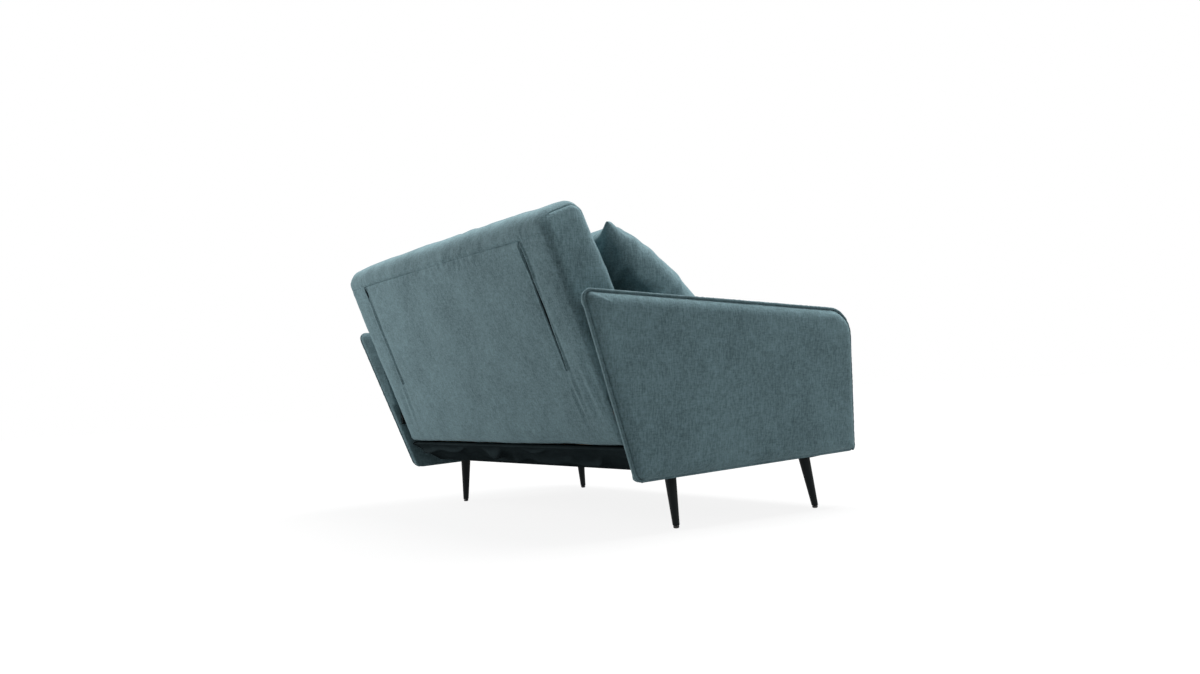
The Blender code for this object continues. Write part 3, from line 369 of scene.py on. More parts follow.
def napGroup():  # brushed pile: broad shading where it leans, fine streaks, single fibres
    group, given = newGroup("brushedNap", Color=(0.1, 0.15, 0.16, 1), Mottle=1.0)
    plain = stretched(group, 1, 1, 1)
    broad = ramp(group, noiseAt(group, plain, 8.0, 6.0, 0.62), 0.36, 0.66)
    patch = ramp(group, noiseAt(group, plain, 42.0, 6.0, 0.74), 0.38, 0.63)
    upward = ramp(group, noiseAt(group, stretched(group, 260, 260, 52), 1.0, 4.0, 0.65), 0.39, 0.62)
    level = ramp(group, noiseAt(group, stretched(group, 62, 62, 290), 1.0, 4.0, 0.65), 0.39, 0.62)
    streak = weighted(group, (upward, 0.6), (level, 0.4))
    fibre = noiseAt(group, plain, 420.0, 3.0, 0.6)
    fleck = ramp(group, noiseAt(group, plain, 190.0, 5.0, 0.7), 0.54, 0.66)
    lean = weighted(group, (broad, 0.24), (patch, 0.18), (streak, 0.58))
    shade = maths(group, "MULTIPLY_ADD", lean, given["Mottle"], 0.0)
    darker = mixed(group, 1.0, given["Color"], (0.46, 0.48, 0.49, 1), "MULTIPLY")
    lighter = mixed(group, 1.0, given["Color"], (1.62, 1.57, 1.56, 1), "MULTIPLY")
    tone = mixed(group, shade, darker, lighter)
    tone = mixed(group, maths(group, "MULTIPLY", ramp(group, fibre, 0.42, 0.72), 0.20), tone, lighter)
    tone = mixed(group, maths(group, "MULTIPLY", fleck, 0.30), tone, darker)
    rough = maths(group, "SUBTRACT", 0.92, maths(group, "MULTIPLY", lean, 0.14))
    return putOut(group, tone, rough, weighted(group, (fibre, 0.35), (patch, 0.65)))


def grainGroup():  # long wavy growth rings and short pores
    group, given = newGroup("sawnGrain", Light=(0.6, 0.45, 0.3, 1), Dark=(0.4, 0.28, 0.16, 1))
    along = stretched(group, 0.9, 9.0, 9.0)
    wave = add(group, "TexWave", {"Vector": along, "Scale": 2.4, "Distortion": 5.0, "Detail": 3.0})
    pores = noiseAt(group, stretched(group, 14, 420, 420), 1.0, 2.0)
    share = weighted(group, (wave.outputs[1], 0.6), (pores, 0.4))
    tone = mixed(group, share, given["Light"], given["Dark"])
    return putOut(group, tone, maths(group, "MULTIPLY_ADD", share, 0.2, 0.55), share)


def scuffGroup():  # a coat with fine orange peel, dull patches and small worn specks
    group, given = newGroup("scuffedCoat", Coat=(0.02, 0.02, 0.02, 1), Worn=(0.2, 0.2, 0.2, 1), Gloss=0.35)
    plain = stretched(group, 1, 1, 1)
    peel = noiseAt(group, plain, 900.0, 2.0)
    dull = noiseAt(group, plain, 30.0, 5.0, 0.65)
    speck = ramp(group, noiseAt(group, plain, 160.0, 3.0, 0.7), 0.66, 0.72)
    wear = maths(group, "MULTIPLY", speck, ramp(group, dull, 0.48, 0.62))
    tone = mixed(group, maths(group, "MULTIPLY", wear, 0.6), given["Coat"], given["Worn"])
    return putOut(group, tone, maths(group, "ADD", given["Gloss"], maths(group, "MULTIPLY", dull, 0.22)), peel)


def feltGroup():  # thin bonded fibres with a grid of small weld points
    group, given = newGroup("bondedFelt", Color=(0.01, 0.01, 0.01, 1))
    plain = stretched(group, 1, 1, 1)
    dots = add(group, "TexVoronoi", {"Vector": plain, "Scale": 420.0, "Randomness": 0.25}).outputs[0]
    fibre = noiseAt(group, plain, 300.0, 6.0, 0.7)
    cloud = noiseAt(group, plain, 12.0, 5.0, 0.6)
    pale = mixed(group, 1.0, given["Color"], (1.9, 1.9, 1.9, 1), "MULTIPLY")
    share = maths(group, "MULTIPLY", ramp(group, cloud, 0.35, 0.75), ramp(group, fibre, 0.35, 0.7))
    rough = maths(group, "SUBTRACT", 0.9, maths(group, "MULTIPLY", fibre, 0.25))
    height = maths(group, "ADD", ramp(group, dots, 0.0, 0.5), fibre)
    return putOut(group, mixed(group, share, given["Color"], pale), rough, height)


groups = dict(nap=napGroup(), grain=grainGroup(), scuff=scuffGroup(), felt=feltGroup())


def finishOf(name, group, values, strength, distance, **sockets):  # values of the group, then of the bump
    material = bpy.data.materials.new(name)
    material.use_nodes = True
    tree = material.node_tree
    maker = add(tree, "Group", None, node_tree=groups[group])
    for label, value in values.items():
        maker.inputs[label].default_value = value if label in ("Mottle", "Gloss") else (*value, 1)
    look = maker.outputs
    relief = add(tree, "Bump", {"Strength": strength, "Distance": distance, "Height": look["Height"]})
    sockets.update(Base_Color=look["Color"], Roughness=look["Roughness"], Normal=relief.outputs[0])
    for label, value in sockets.items():
        plug(tree, tree.nodes["Principled BSDF"].inputs[label.replace("_", " ")], value)
    return material


pile = dict(Sheen_Weight=0.34, Sheen_Roughness=0.45, Sheen_Tint=(0.56, 0.80, 0.86, 1), Specular_IOR_Level=0.25)
velvet = dict(Color=(0.1130, 0.1870, 0.2080), Mottle=1.0)
# a touch lighter than the cover's velvet: a painted highlight for the light its raised cord catches
piping = dict(Color=(0.1160, 0.1900, 0.2110), Mottle=0.7)
felt = dict(Color=(0.0215, 0.0310, 0.0340))
softwood = dict(Light=(0.60, 0.45, 0.27), Dark=(0.42, 0.28, 0.15))
plywood = dict(Light=(0.66, 0.52, 0.34), Dark=(0.53, 0.39, 0.23))
paint = dict(Coat=(0.006, 0.0090, 0.0100), Worn=(0.03, 0.03, 0.03), Gloss=0.38)
zinc = dict(Coat=(0.55, 0.56, 0.57), Worn=(0.35, 0.33, 0.30), Gloss=0.22)
plastic = dict(Coat=(0.013, 0.013, 0.013), Worn=(0.06, 0.06, 0.06), Gloss=0.42)
finishes = dict(
    grey_teal_velvet=finishOf("greyTealVelvet", "nap", velvet, 0.35, 0.0012, **pile),
    piping_velvet=finishOf("pipingVelvet", "nap", piping, 0.3, 0.0008, **pile),
    black_dust_cloth=finishOf("blackDustCloth", "felt", felt, 0.5, 0.0006, Specular_IOR_Level=0.0),
    frame_softwood=finishOf("frameSoftwood", "grain", softwood, 0.2, 0.0006),
    plywood=finishOf("sandedPlywood", "grain", plywood, 0.15, 0.0005),
    black_painted_metal=finishOf("satinBlackPaint", "scuff", paint, 0.12, 0.0004, Specular_IOR_Level=0.12),
    zinc_plated_steel=finishOf("zincPlatedSteel", "scuff", zinc, 0.1, 0.0004, Metallic=1.0),
    black_plastic=finishOf("mouldedBlackPlastic", "scuff", plastic, 0.2, 0.0005),
)
print("finishes made")


def paintWith(piece, slot):
    piece.data.materials.clear()
    piece.data.materials.append(finishes[slot])


def dress(piece, slot, body, *replaced, fill=None):  # its finish, its body, the nodes it stands for; its filling, fill, is not used
    paintWith(piece, slot)
    if body:
        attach(piece, body)
    if replaced:
        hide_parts(*replaced)


for entry in frame["record"]["subparts"]:  # the CAD pieces that show keep their shape and take these finishes
    paintWith(nodes[entry["node"]], entry["material_slot"])


# backrest

back = dict(
    thickness=0.135,
    edgeRadius=0.045,
    footRadius=0.018,
    sideRadius=0.022,
    cornerRadius=0.036,
    halfWidth=span("back_rear_pad", (1, 0, 0))[1] + 0.0025,  # the cover lies over the stiles
    hingeDent=0.0028,
    hingeReach=0.060,
    rearDeep=0.02,
    seamUp=0.541,
    seamDepth=0.0038,
    seamWidth=0.0021,
    puckerHeight=0.0036,
    puckerPitch=0.027,
    gussetTurn=math.radians(51),
    gussetDepth=0.0026,
    crown=0.026,
    crownStart=0.20,
    topCrown=0.006,
    slitX=abs(joints["left_prop_swing"]["pos_m"][0]),
    slitTop=0.541,
    slitFoot=0.205,
    slitHalf=0.0056,
    slitGape={-1: dict(up=0.365, reach=0.060, wide=0.0022), 1: dict(up=0.522, reach=0.017, wide=0.0088)},
    slitDepth=0.0365,
    shoulderDeep=0.0080,
    floorAt=0.0046,
    shoulderAt=0.0054,
    lipAt=0.0062,
    lipEnd=0.0185,
    lipRise=0.0012,
    flapRise=0.0032,
    spacing=dict(rough=0.014, across=0.0085, around=0.008),
    run=dict(pressure=3.0, cap=0.0035),
)
backLow, backHigh = span("back_front_pad", backRise)
backFace = span("back_rear_pad", backRear)[1]
back["length"] = backHigh - backLow
backCreases = [  # soft ridges on the rear face: from (x, up) to (x, up), height and half width
    ((-0.524, 0.260), (-0.536, 0.060), 0.0019, 0.0095),
    ((-0.550, 0.225), (-0.568, 0.030), 0.0026, 0.0135),
    ((-0.590, 0.300), (-0.603, 0.070), 0.0032, 0.0110),
    ((-0.500, 0.200), (-0.512, 0.020), 0.0016, 0.0090),
    ((-0.5060, 0.560), (-0.5125, 0.448), 0.0030, 0.0028),
    ((0.502, 0.545), (0.506, 0.440), 0.0016, 0.0080),
    ((0.524, 0.235), (0.540, 0.050), 0.0018, 0.0110),
    ((0.565, 0.230), (0.585, 0.040), 0.0022, 0.0130),
    ((-0.300, 0.330), (-0.150, 0.240), 0.0010, 0.0200),
    ((-0.420, 0.180), (-0.300, 0.090), 0.0010, 0.0180),
]


def rounder(p, q, small, big):  # how far a corner with a small radius shrinks to get a big one; p and q from its middle
    angle = np.arctan2(np.maximum(q, 1e-9), np.maximum(p, 1e-9))
    c, s = np.cos(angle), np.sin(angle)
    inner = big - small
    reach = inner * (c + s) + np.sqrt(np.maximum(small ** 2 - (inner * (c - s)) ** 2, 0))
    onArc = (reach * c >= inner) & (reach * s >= inner)
    edge = np.where(onArc, reach, big / np.maximum(c, s))
    return np.where((p > 0) & (q > 0), big / edge, 1.0)


def softCorners(x, up, depth):  # the upper corners are rounder than the sides
    half, length = back["halfWidth"], back["length"]

    def softened(x, other, limit, big, amount):
        p, q = np.abs(x) - half + big, other - limit + big
        share = 1 + (rounder(p, q, back["sideRadius"], big) - 1) * amount
        pulled = np.sign(x) * (half - big + p * share)
        return np.where(share < 1, pulled, x), np.where(share < 1, limit - big + q * share, other)

    x, depth = softened(x, depth, back["thickness"], back["edgeRadius"], ease(2 * up / length - 1))
    x, up = softened(x, up, length, back["cornerRadius"], 1)
    return x, up, depth


def placeBack(local):  # (x, up the slope, depth from the rear face) to the room
    x, up, depth = softCorners(local[..., 0], local[..., 1], local[..., 2])
    wide = np.clip(1 - (x / back["halfWidth"]) ** 4, 0, 1)
    half = (back["length"] - back["crownStart"]) / 2
    wave = (up - back["crownStart"] - half) / half
    full = wide * np.clip(1 - wave * wave, 0, 1) ** 1.5
    depth = depth + back["crown"] * full * ease(depth / back["thickness"] * 2 - 1)
    up = up + back["topCrown"] * wide * ease(up / back["length"] * 4 - 3)
    room = np.zeros(local.shape)
    room[..., 0] = x
    return room + (up + backLow)[..., None] * backRise + (backFace - depth)[..., None] * backRear


def backHeld(local):  # the cover is fixed along its seams, slits and lower edge
    x, up, depth = np.abs(local[..., 0]), local[..., 1], local[..., 2]
    seam = np.abs(up - back["seamUp"]) < 0.008
    slit = (np.abs(x - back["slitX"]) < 0.012) & (up > back["slitFoot"]) & (up < back["slitTop"])
    return (depth < back["rearDeep"]) & (seam | slit) | (up < 0.03) | (x > back["halfWidth"] - 0.004)


def crease(x, up, start, end, height, width):  # a ridge along a short line, fading at its ends
    run = np.array(end) - np.array(start)
    x, up = x - start[0], up - start[1]
    along = (x * run[0] + up * run[1]) / (run @ run)
    aside = np.hypot(x - along * run[0], up - along * run[1])
    side = np.sign(x * run[1] - up * run[0])
    fade = bump(np.clip(2 * along - 1, -1, 1))
    return height * fade * (bell(aside / width) - 0.8 * bell((side * aside - 1.6 * width) / width))


def backDetail(points, faces, local):
    x, up, depth = local.T
    rear = ease(1 - depth / 0.03) * ease((back["halfWidth"] - np.abs(x)) / 0.03)
    away = up - back["seamUp"]
    drawn = np.where(np.abs(x) < back["slitX"], 0.75 + 0.25 * waves(local, 0.11, 6), 0.35)  # how tightly it is sewn
    groove = -back["seamDepth"] * np.clip(drawn, 0.2, 1) * bell(away / back["seamWidth"])
    groove = groove + 0.0012 * bell((np.abs(away) - 0.012) / 0.010)
    flow = waves(np.column_stack((x, up * 0.4, depth)), 0.05, 5)
    gather = 0.35 + 0.65 * bell((x + 0.16) / 0.11)
    pucker = np.sin(2 * math.pi * x / back["puckerPitch"] + 2.2 * flow) * np.exp(-np.abs(away) / 0.020)
    pucker = back["puckerHeight"] * gather * pucker
    offset = rear * (groove + pucker * (1 - 0.6 * bell(away / 0.004)))
    for fold in backCreases:
        offset = offset + rear * crease(x, up, *fold)
    past = (np.abs(x) - back["halfWidth"] + back["sideRadius"]) / back["sideRadius"]
    turn = np.arcsin(np.clip(past, 0, 1))  # round the corner to the side panel, which is sewn on
    seamShare = 0.12 + 0.88 * ease((up - back["length"] + 0.06) / 0.04)
    line = bell((turn - back["gussetTurn"]) / 0.10) * (depth > 0.004) * (depth < back["thickness"] - 0.004)
    offset = offset - back["gussetDepth"] * seamShare * line
    offset = offset + 0.0007 * waves(points, 0.20, 11) + 0.0002 * waves(points, 0.055, 12)
    offset = offset + 0.0006 * waves(points, 0.085, 13) * ease((up - back["seamUp"]) / 0.02)  # dents in the roll
    points = raised(points, faces, offset)
    return slitCut(hingeRecess(points, x, up, depth), x, up, depth)


def hingeRecess(points, x, up, depth):  # the cover is cut lower round the hinge plates
    hinge = np.array(joints["backrest_recline"]["pos_m"])
    away = np.hypot(up - hinge @ backRise + backLow, depth - backFace + hinge @ backRear)
    near = ease((back["hingeReach"] - away) / 0.018) * (np.abs(x) > back["halfWidth"] - 0.006)
    points[:, 0] -= np.sign(x) * back["hingeDent"] * near
    return points


def gapeAt(sign, up):  # 1 where a slit hangs open most
    gape = back["slitGape"][sign]
    return bell((up - gape["up"]) / gape["reach"])


def slitHalf(sign, up, inner):  # from a slit's middle to its lip; the inner lip hangs open a little
    return back["slitHalf"] + back["slitGape"][sign]["wide"] * inner * gapeAt(sign, up)


def slitCut(points, x, up, depth):  # each slit is an open pocket with soft lips
    floorAt, lipAt, lipEnd = back["floorAt"], back["lipAt"], back["lipEnd"]
    opened = ease((up - back["slitFoot"]) / 0.006) * ease((back["slitTop"] - up) / 0.006)
    opened = opened * (depth < back["rearDeep"])
    for sign in (-1, 1):
        aside = x - sign * back["slitX"]
        far = np.abs(aside)
        half = slitHalf(sign, up, aside * sign < 0)
        inside = far < back["shoulderAt"] + 0.0002
        shoulder = inside & (far > floorAt + 0.0002)
        lip = ~inside & (far < lipEnd)
        wall = np.where(shoulder, np.sign(aside) * back["slitHalf"], aside / floorAt * (back["slitHalf"] - 0.0003))
        pulled = half + (far - lipAt) * (lipEnd - half) / (lipEnd - lipAt)
        place = np.where(inside, wall, np.where(lip, np.sign(aside) * pulled, aside))
        points[:, 0] += (place - aside) * opened
        flap = back["lipRise"] + back["flapRise"] * (aside < 0) * (1 - gapeAt(sign, up))
        rise = np.where(lip, flap * opened * bump((far - 0.0080) / 0.0070), 0)
        drop = np.where(shoulder, back["shoulderDeep"], np.where(inside, back["slitDepth"], 0)) * opened
        points += (rise - drop)[:, None] * backRear
    return points


def makeSlitShadeSheet(side):  # a black sheet lining the pocket, a thin channel just inside its walls; it paints the shade deep in the slit
    sign = sides[side]
    rings = []
    for up in np.linspace(back["slitFoot"] + 0.005, back["slitTop"] - 0.005, 60):
        wide, thin = back["slitHalf"] - 0.0008, 0.0003
        left, right = (slitHalf(sign, up, inner) - 0.0008 for inner in (sign > 0, sign < 0))
        top, neck, deep = 0.0012, back["shoulderDeep"], back["slitDepth"] - 0.0010
        outer = [(-left, top), (-wide, neck), (-wide, deep), (wide, deep), (wide, neck), (right, top)]
        inner = [(t - math.copysign(thin, t), depth - thin * (depth == deep)) for t, depth in reversed(outer)]
        rings.append([(sign * back["slitX"] + t, up, depth) for t, depth in outer + inner])
    faces = ringFaces(len(rings), 12)
    ends = (0, 12 * (len(rings) - 1))  # closed at both ends
    faces += [(end + k, end + k + 1, end + 10 - k, end + 11 - k) for k in range(5) for end in ends]
    piece = makeObject(side + "SlitShadeSheet", placeBack(np.array(rings)).reshape(-1, 3), faces)
    piece.data.shade_flat()
    dress(piece, "black_dust_cloth", "backrest")


def makeBack():
    rows = [0.0, 0.0026, 0.0080, 0.0094, 0.0110, 0.0128, 0.0150]  # close rows beside each slit
    rows += [back[key] for key in ("floorAt", "shoulderAt", "lipAt", "lipEnd")]
    extra = {side * back["slitX"] + way * row for side in (-1, 1) for way in (-1, 1) for row in rows}
    radii = [back["footRadius"], back["edgeRadius"], back["edgeRadius"], back["footRadius"]]

    def finer(middles):  # close rows by the seam and the slits' ends
        near = 1.17 * bell((middles[:, 0] - back["seamUp"]) / 0.014)
        foot = bell((middles[:, 0] - back["slitFoot"]) / 0.012)
        return back["spacing"]["around"] * (1 - 0.72 * np.maximum(near, foot) * (middles[:, 1] < back["rearDeep"]))

    corners = oblong((0, 0), (back["length"], back["thickness"]))
    look = dict(back, spacing=dict(back["spacing"], around=finer))
    piece = paddedSlab("backCover", corners, radii, look, placeBack, backHeld, backDetail, extra)
    dress(piece, "grey_teal_velvet", "backrest", "back_front_pad", "back_rear_pad", fill=0.75)
    # black sheets in the slits paint the shade inside them
    for side in sides:
        makeSlitShadeSheet(side)


makeBack()


# seat

seat = dict(
    radius=0.030,
    footRadius=0.014,
    sideRadius=0.024,
    crown=0.012,
    seamDepth=0.0026,
    halfWidth=span("seat_cushion", (1, 0, 0))[1],
    spacing=dict(rough=0.016, across=0.012, around=0.009),
    run=dict(pressure=3.0, cap=0.006),
)
seatLow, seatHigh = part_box("seat_cushion")


def placeSeat(local):  # (x, y, z), crowned, with its rear face on the back's slope
    x, y, z = local[..., 0], local[..., 1], local[..., 2]
    middle, half = (seatLow.y + seatHigh.y) / 2, (seatHigh.y - seatLow.y) / 2
    share = np.clip((y - middle) / half, -1, 1)
    full = np.clip(1 - (x / seat["halfWidth"]) ** 4, 0, 1) * (1 - share ** 4)
    lift = seat["crown"] * full * (z > (seatLow.z + seatHigh.z) / 2)
    return np.stack((x, y, z + lift), -1)


def seatHeld(local):  # fixed to the deck, and pulled flat where the raised leaf lies against it
    return (local[..., 2] < seatLow.z + 0.012) | (local[..., 1] < seatLow.y + 0.022)


def seatDetail(points, faces, local):
    x, y, z = local.T
    top = seatHigh.z - seat["crown"] - 0.010
    rim = np.maximum.reduce((np.abs(x) - seat["halfWidth"] + 0.03, seatLow.y + 0.03 - y, y - seatHigh.y + 0.05))
    seam = -seat["seamDepth"] * bell((z - top) / 0.0035) * ease(rim / 0.02 + 0.2)
    offset = seam + 0.0016 * waves(points, 0.22, 21) + 0.0005 * waves(points, 0.06, 22)
    offset = offset * (z > seatLow.z + 0.01)
    offset = np.where(y < seatLow.y + 0.028, np.minimum(offset, 0), offset)
    return raised(points, faces, offset)


def makeSeat():
    low, high = seatLow.z, seatHigh.z - seat["crown"]
    rearLow = seatHigh.y - (high - low) * math.tan(backLean)
    corners = [(seatLow.y, low), (rearLow, low), (seatHigh.y, high), (seatLow.y, high)]
    radii = [seat["footRadius"], seat["footRadius"], seat["radius"], seat["radius"]]
    piece = paddedSlab("seatCushionCover", corners, radii, seat, placeSeat, seatHeld, seatDetail)
    dress(piece, "grey_teal_velvet", "base", "seat_cushion", fill=0.8)


makeSeat()


# front leaf

foldY, foldZ = joints["outer_leaf_unfold"]["pos_m"][1:]
leaf = dict(
    spacing=dict(rough=0.016, across=0.013, around=0.006),
    wrap=0.0014,
    seamDepth=0.0014,
    sideRadius=0.0035,
    tapeWidth=0.045,
    tapeInner=0.00010,
    tapeOuter=0.00100,
)
leaf["halfWidth"] = span("fascia_pad", (1, 0, 0))[1] + leaf["wrap"]
fasciaLook = dict(
    leaf,
    name="fasciaCover",
    pad="fascia_pad",
    rear=foldY - 0.0014,
    radii=[0.010, 0.004, 0.004, 0.012],
    run=dict(pressure=2.0, cap=0.003),
    flatBelow=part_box("fascia_pad")[0].z,
    softness=1.0,
    seed=31,
)
innerLook = dict(
    leaf,
    name="innerLeafCover",
    pad="inner_leaf_pad",
    rear=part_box("inner_leaf_board")[1].y + 0.0010,
    radii=[0.006, 0.003, 0.003, 0.012],
    run=dict(pressure=1.0, cap=0.0008),
    flatBelow=foldZ + leaf["tapeWidth"] + 0.006,
    softness=0.4,
    seed=34,
)


def makeLeafCover(panel, look):  # an upholstered panel; its far side is pulled flat over its board
    low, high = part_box(look["pad"])
    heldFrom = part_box(panel + "_board")[0].y
    corners = oblong((low.y, low.z - leaf["wrap"]), (look["rear"], high.z + leaf["wrap"]))

    def held(local):
        y, z = local[..., 1], local[..., 2]
        return (y > heldFrom) | (z > high.z - 0.010) | (z < low.z + 0.006) | (z < look["flatBelow"])

    def detail(points, faces, local):
        y, z = local[:, 1], local[:, 2]
        rim = np.minimum(z - low.z, high.z - z)
        soft = 0.0010 * waves(points, 0.18, look["seed"]) + 0.0004 * waves(points, 0.05, look["seed"] + 1)
        soft = soft - leaf["seamDepth"] * bell((rim - 0.016) / 0.003)
        soft = soft * look["softness"] * ease(rim / 0.012) * ease((z - look["flatBelow"]) / 0.015)
        return raised(points, faces, soft * (y < heldFrom))

    piece = paddedSlab(look["name"], corners, look["radii"], look, np.array, held, detail)
    dress(piece, "grey_teal_velvet", panel, look["pad"], fill=0.7)


def makeTape():  # the cloth hinge between the two panels, folded in two while they hang closed
    halfWidth = span("leaf_hinge_tape", (1, 0, 0))[1]
    gap = (leaf["tapeOuter"] - leaf["tapeInner"]) / 2
    middle = foldY - (leaf["tapeOuter"] + leaf["tapeInner"]) / 2
    side = [(gap, z) for z in np.linspace(leaf["tapeWidth"], gap, 14)]
    bend = [(gap * math.cos(a), gap - gap * math.sin(a)) for a in np.linspace(0, math.pi, 9)[1:-1]]
    path = np.array(side + bend + [(-y, z) for y, z in reversed(side)]) + (middle, foldZ)
    xs = np.linspace(-halfWidth, halfWidth, 60)
    rings = np.array([np.column_stack((np.full(len(path), x), path)) for x in xs])
    piece = makeObject("leafTape", rings.reshape(-1, 3), ringFaces(len(xs), len(path), closed=False))
    dress(piece, "black_dust_cloth", None, "leaf_hinge_tape")
    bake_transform(piece)


def makePlinthWrap():  # cloth stapled round the rail under the front panel
    low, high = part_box("plinth_rail")
    front, rear, foot, top = low.y - 0.0012, high.y + 0.0010, low.z - 0.0003, high.z + 0.0012
    section, normals, _ = roundedLoop(oblong((front, foot), (rear, top)), [0.0012, 0.0012, 0.003, 0.004], 0.002)
    rings = slabRings(section, normals, stations(high.x - 0.0005, 0.001, 0.013))
    points = skinPoints(rings)
    soft = 0.0003 * waves(points, 0.07, 37) * (points[:, 2] > foot + 0.004)
    points[:, 1] -= np.clip(soft, -0.0002, None) * (points[:, 1] < (front + rear) / 2)
    dress(makeObject("plinthWrap", points, skinFaces(*rings.shape[:2])), "grey_teal_velvet", "base")


makeLeafCover("outer_leaf", fasciaLook)
makeLeafCover("inner_leaf", innerLook)
makeTape()
makePlinthWrap()
print("front leaf made")


# arms

arm = dict(
    clearHalf=0.660,
    footHalf=0.6665,
    footY=0.25885,
    footZ=0.126,
    flare=math.radians(6.6),
    length=0.726,
    frontLift=0.0226,
    rearHeight=0.470,
    rearLean=math.radians(19.0),
    frontHeight=0.388,
    frontLean=math.radians(4.2),
    radii=(0.034, 0.021, 0.085, 0.014),
    centre=(-0.30, 0.235),
    weltRadius=0.0036,
    weltIn=0.0036,
    weltDeep=0.0032,
    faceIn=0.0074,
    faceRound=0.030,
    faceDrop=0.0075,
    frontDrop=0.0015,
    faceRise=0.0125,
    faceBulge=0.0045,
    edgeDeep=0.0075,
    edgeSlope=0.66,
    panelDeep=0.0196,
    shelfZ=0.334,
    spacing=0.0065,
)


def armOutline(spacing):  # in the arm's own leaning plane: along y and up the flare
    rearTop = arm["rearHeight"] * math.tan(arm["rearLean"])
    frontTop = arm["frontHeight"] * math.tan(arm["frontLean"]) - arm["length"]
    front = [(frontTop, arm["frontLift"] + arm["frontHeight"]), (-arm["length"], arm["frontLift"])]
    return roundedLoop([(0, 0), (rearTop, arm["rearHeight"])] + front, arm["radii"], spacing)


def armPoints(flat, deep, sign):  # points of the leaning plane, some way in from its outer face
    up = np.array((sign * math.sin(arm["flare"]), 0, math.cos(arm["flare"])))
    out = np.array((sign * math.cos(arm["flare"]), 0, -math.sin(arm["flare"])))
    foot = np.array((sign * arm["footHalf"], arm["footY"], arm["footZ"]))
    deep = np.broadcast_to(deep, len(flat))
    return foot + flat[:, :1] * np.array((0, 1, 0)) + flat[:, 1:] * up - deep[:, None] * out


def innerFace(points, sign):  # where the arm's inner face lies, level with a point: upright above the seat's shelf
    z = points[..., 2]
    panel = arm["footHalf"] + (z - arm["footZ"]) * math.tan(arm["flare"]) - arm["panelDeep"]
    share = ease((z - arm["shelfZ"]) / 0.010)
    out = points.copy()
    out[..., 0] = sign * (panel + (np.minimum(arm["clearHalf"], panel) - panel) * share)
    return out


def boxing(flat, share, sign):  # the band over the arm's edge, from the piping to the inner face
    outer = armPoints(flat, arm["edgeDeep"], sign)
    return outer + (innerFace(outer, sign) - outer) * share


def makeArm(side):
    sign = sides[side]
    outline, normals, _ = armOutline(arm["spacing"])
    centre = np.array(arm["centre"])
    reach = np.linalg.norm(outline - centre, axis=1)
    facing = np.abs(((outline - centre) / reach[:, None] * normals).sum(1))
    front = ease((-normals[:, 0] - 0.55) / 0.35)  # the piping lies flush along the front edge
    drop = arm["faceDrop"] + (arm["frontDrop"] - arm["faceDrop"]) * front
    rings = []
    sizes = np.concatenate((np.linspace(0.04, 0.84, 16), np.linspace(0.86, 0.96, 10), np.linspace(0.964, 1.0, 14)))
    for size in sizes:  # the outer face, from its middle to the piping
        flat = centre + (outline - normals * arm["faceIn"] - centre) * size
        edge = np.clip((1 - size) * reach * facing / arm["faceRound"], 0, 1)
        roll = (drop + arm["faceRise"]) * np.sqrt(1 - (1 - edge) ** 2) - drop
        rings.append(armPoints(flat, -roll - arm["faceBulge"] * (1 - size ** 3), sign))
    edgeRing = boxing(outline, 0.0, sign)
    thick = np.abs(innerFace(edgeRing, sign) - edgeRing)[:, 0]
    low = ease((-normals[:, 1] - 0.45) / 0.3)  # 1 along the lower edge, which has no piping
    roundness = np.clip((thick - 0.014) * 0.35, 0.0004, 0.010) * (1 - low)

    def drawnIn(share):  # how far the edge has drawn in, this far across its thickness
        past = thick * share - 0.006
        edge = 0.0022 + arm["edgeSlope"] * (past + np.sqrt(past ** 2 + 0.003 ** 2)) / 2
        return edge * (1 - low) + 0.0006 * low

    def band(inset, size, share):  # drawn in towards the middle, so that the corners never cross
        flat = centre + (outline - centre) * (size * (1 - inset / (facing * reach)))[:, None]
        rings.append(boxing(flat, share, sign))

    rings.append(boxing(outline - normals * 0.0026, 0.0, sign))
    for share in (0.03, 0.08, 0.16, 0.28, 0.42, 0.56, 0.70, 0.80):
        band(drawnIn(share), 1.0, share)
    for turn in np.radians((0, 22.5, 45, 67.5, 90)):  # the soft inner edge
        share = 0.84 + 0.16 * math.sin(turn)
        inset = drawnIn(share) + roundness * (1 - math.cos(turn))
        band(inset, 1.0, share)
    for size in np.concatenate((np.linspace(0.97, 0.86, 6), np.linspace(0.8, 0.04, 16))):  # the inner face
        band(inset, size, 1.0)
    points = skinPoints(rings)
    faces = skinFaces(len(rings), len(outline))
    soft = 0.0007 * waves(points, 0.21, 41 + sign) + 0.0002 * waves(points, 0.05, 44 + sign)
    outside = np.zeros(len(points))
    outside[: len(sizes) * len(outline)] = np.repeat(1 - sizes ** 12, len(outline))
    points = raised(points, faces, soft * outside)
    pads = (side + "_arm_outer_pad", side + "_arm_inner_pad")
    dress(makeObject(side + "ArmCover", points, faces), "grey_teal_velvet", "base", *pads, fill=0.7)


def makePiping(side):  # cloth-covered cord sewn round the outer face, from rear foot to front foot
    sign = sides[side]
    outline, normals, lengths = armOutline(0.004)
    keep = (lengths > 0.004) & (lengths < lengths[-1] - arm["length"] + 0.040)
    path = armPoints((outline - normals * arm["weltIn"])[keep], arm["weltDeep"], sign)
    tangent = unit(np.gradient(path, axis=0))
    across = unit(np.cross(tangent, (1.0, 0, 0)))
    other = np.cross(tangent, across)
    angles = np.linspace(0, 2 * math.pi, 14, endpoint=False)[None, :, None]
    turn = np.cos(angles) * across[:, None] + np.sin(angles) * other[:, None]
    radius = np.full((len(path), 1, 1), arm["weltRadius"])
    radius[[0, -1]] *= 0.55  # soft ends
    rings = path[:, None] + turn * radius
    rings = rings + turn * (0.00022 * waves(rings, arm["weltRadius"] * 3, 47 + sign))[..., None]
    dress(skin(side + "Piping", rings), "piping_velvet", "base", side + "_arm_welt")


for armSide in sides:
    makeArm(armSide)
    makePiping(armSide)
print("arms and piping made")


# pillow

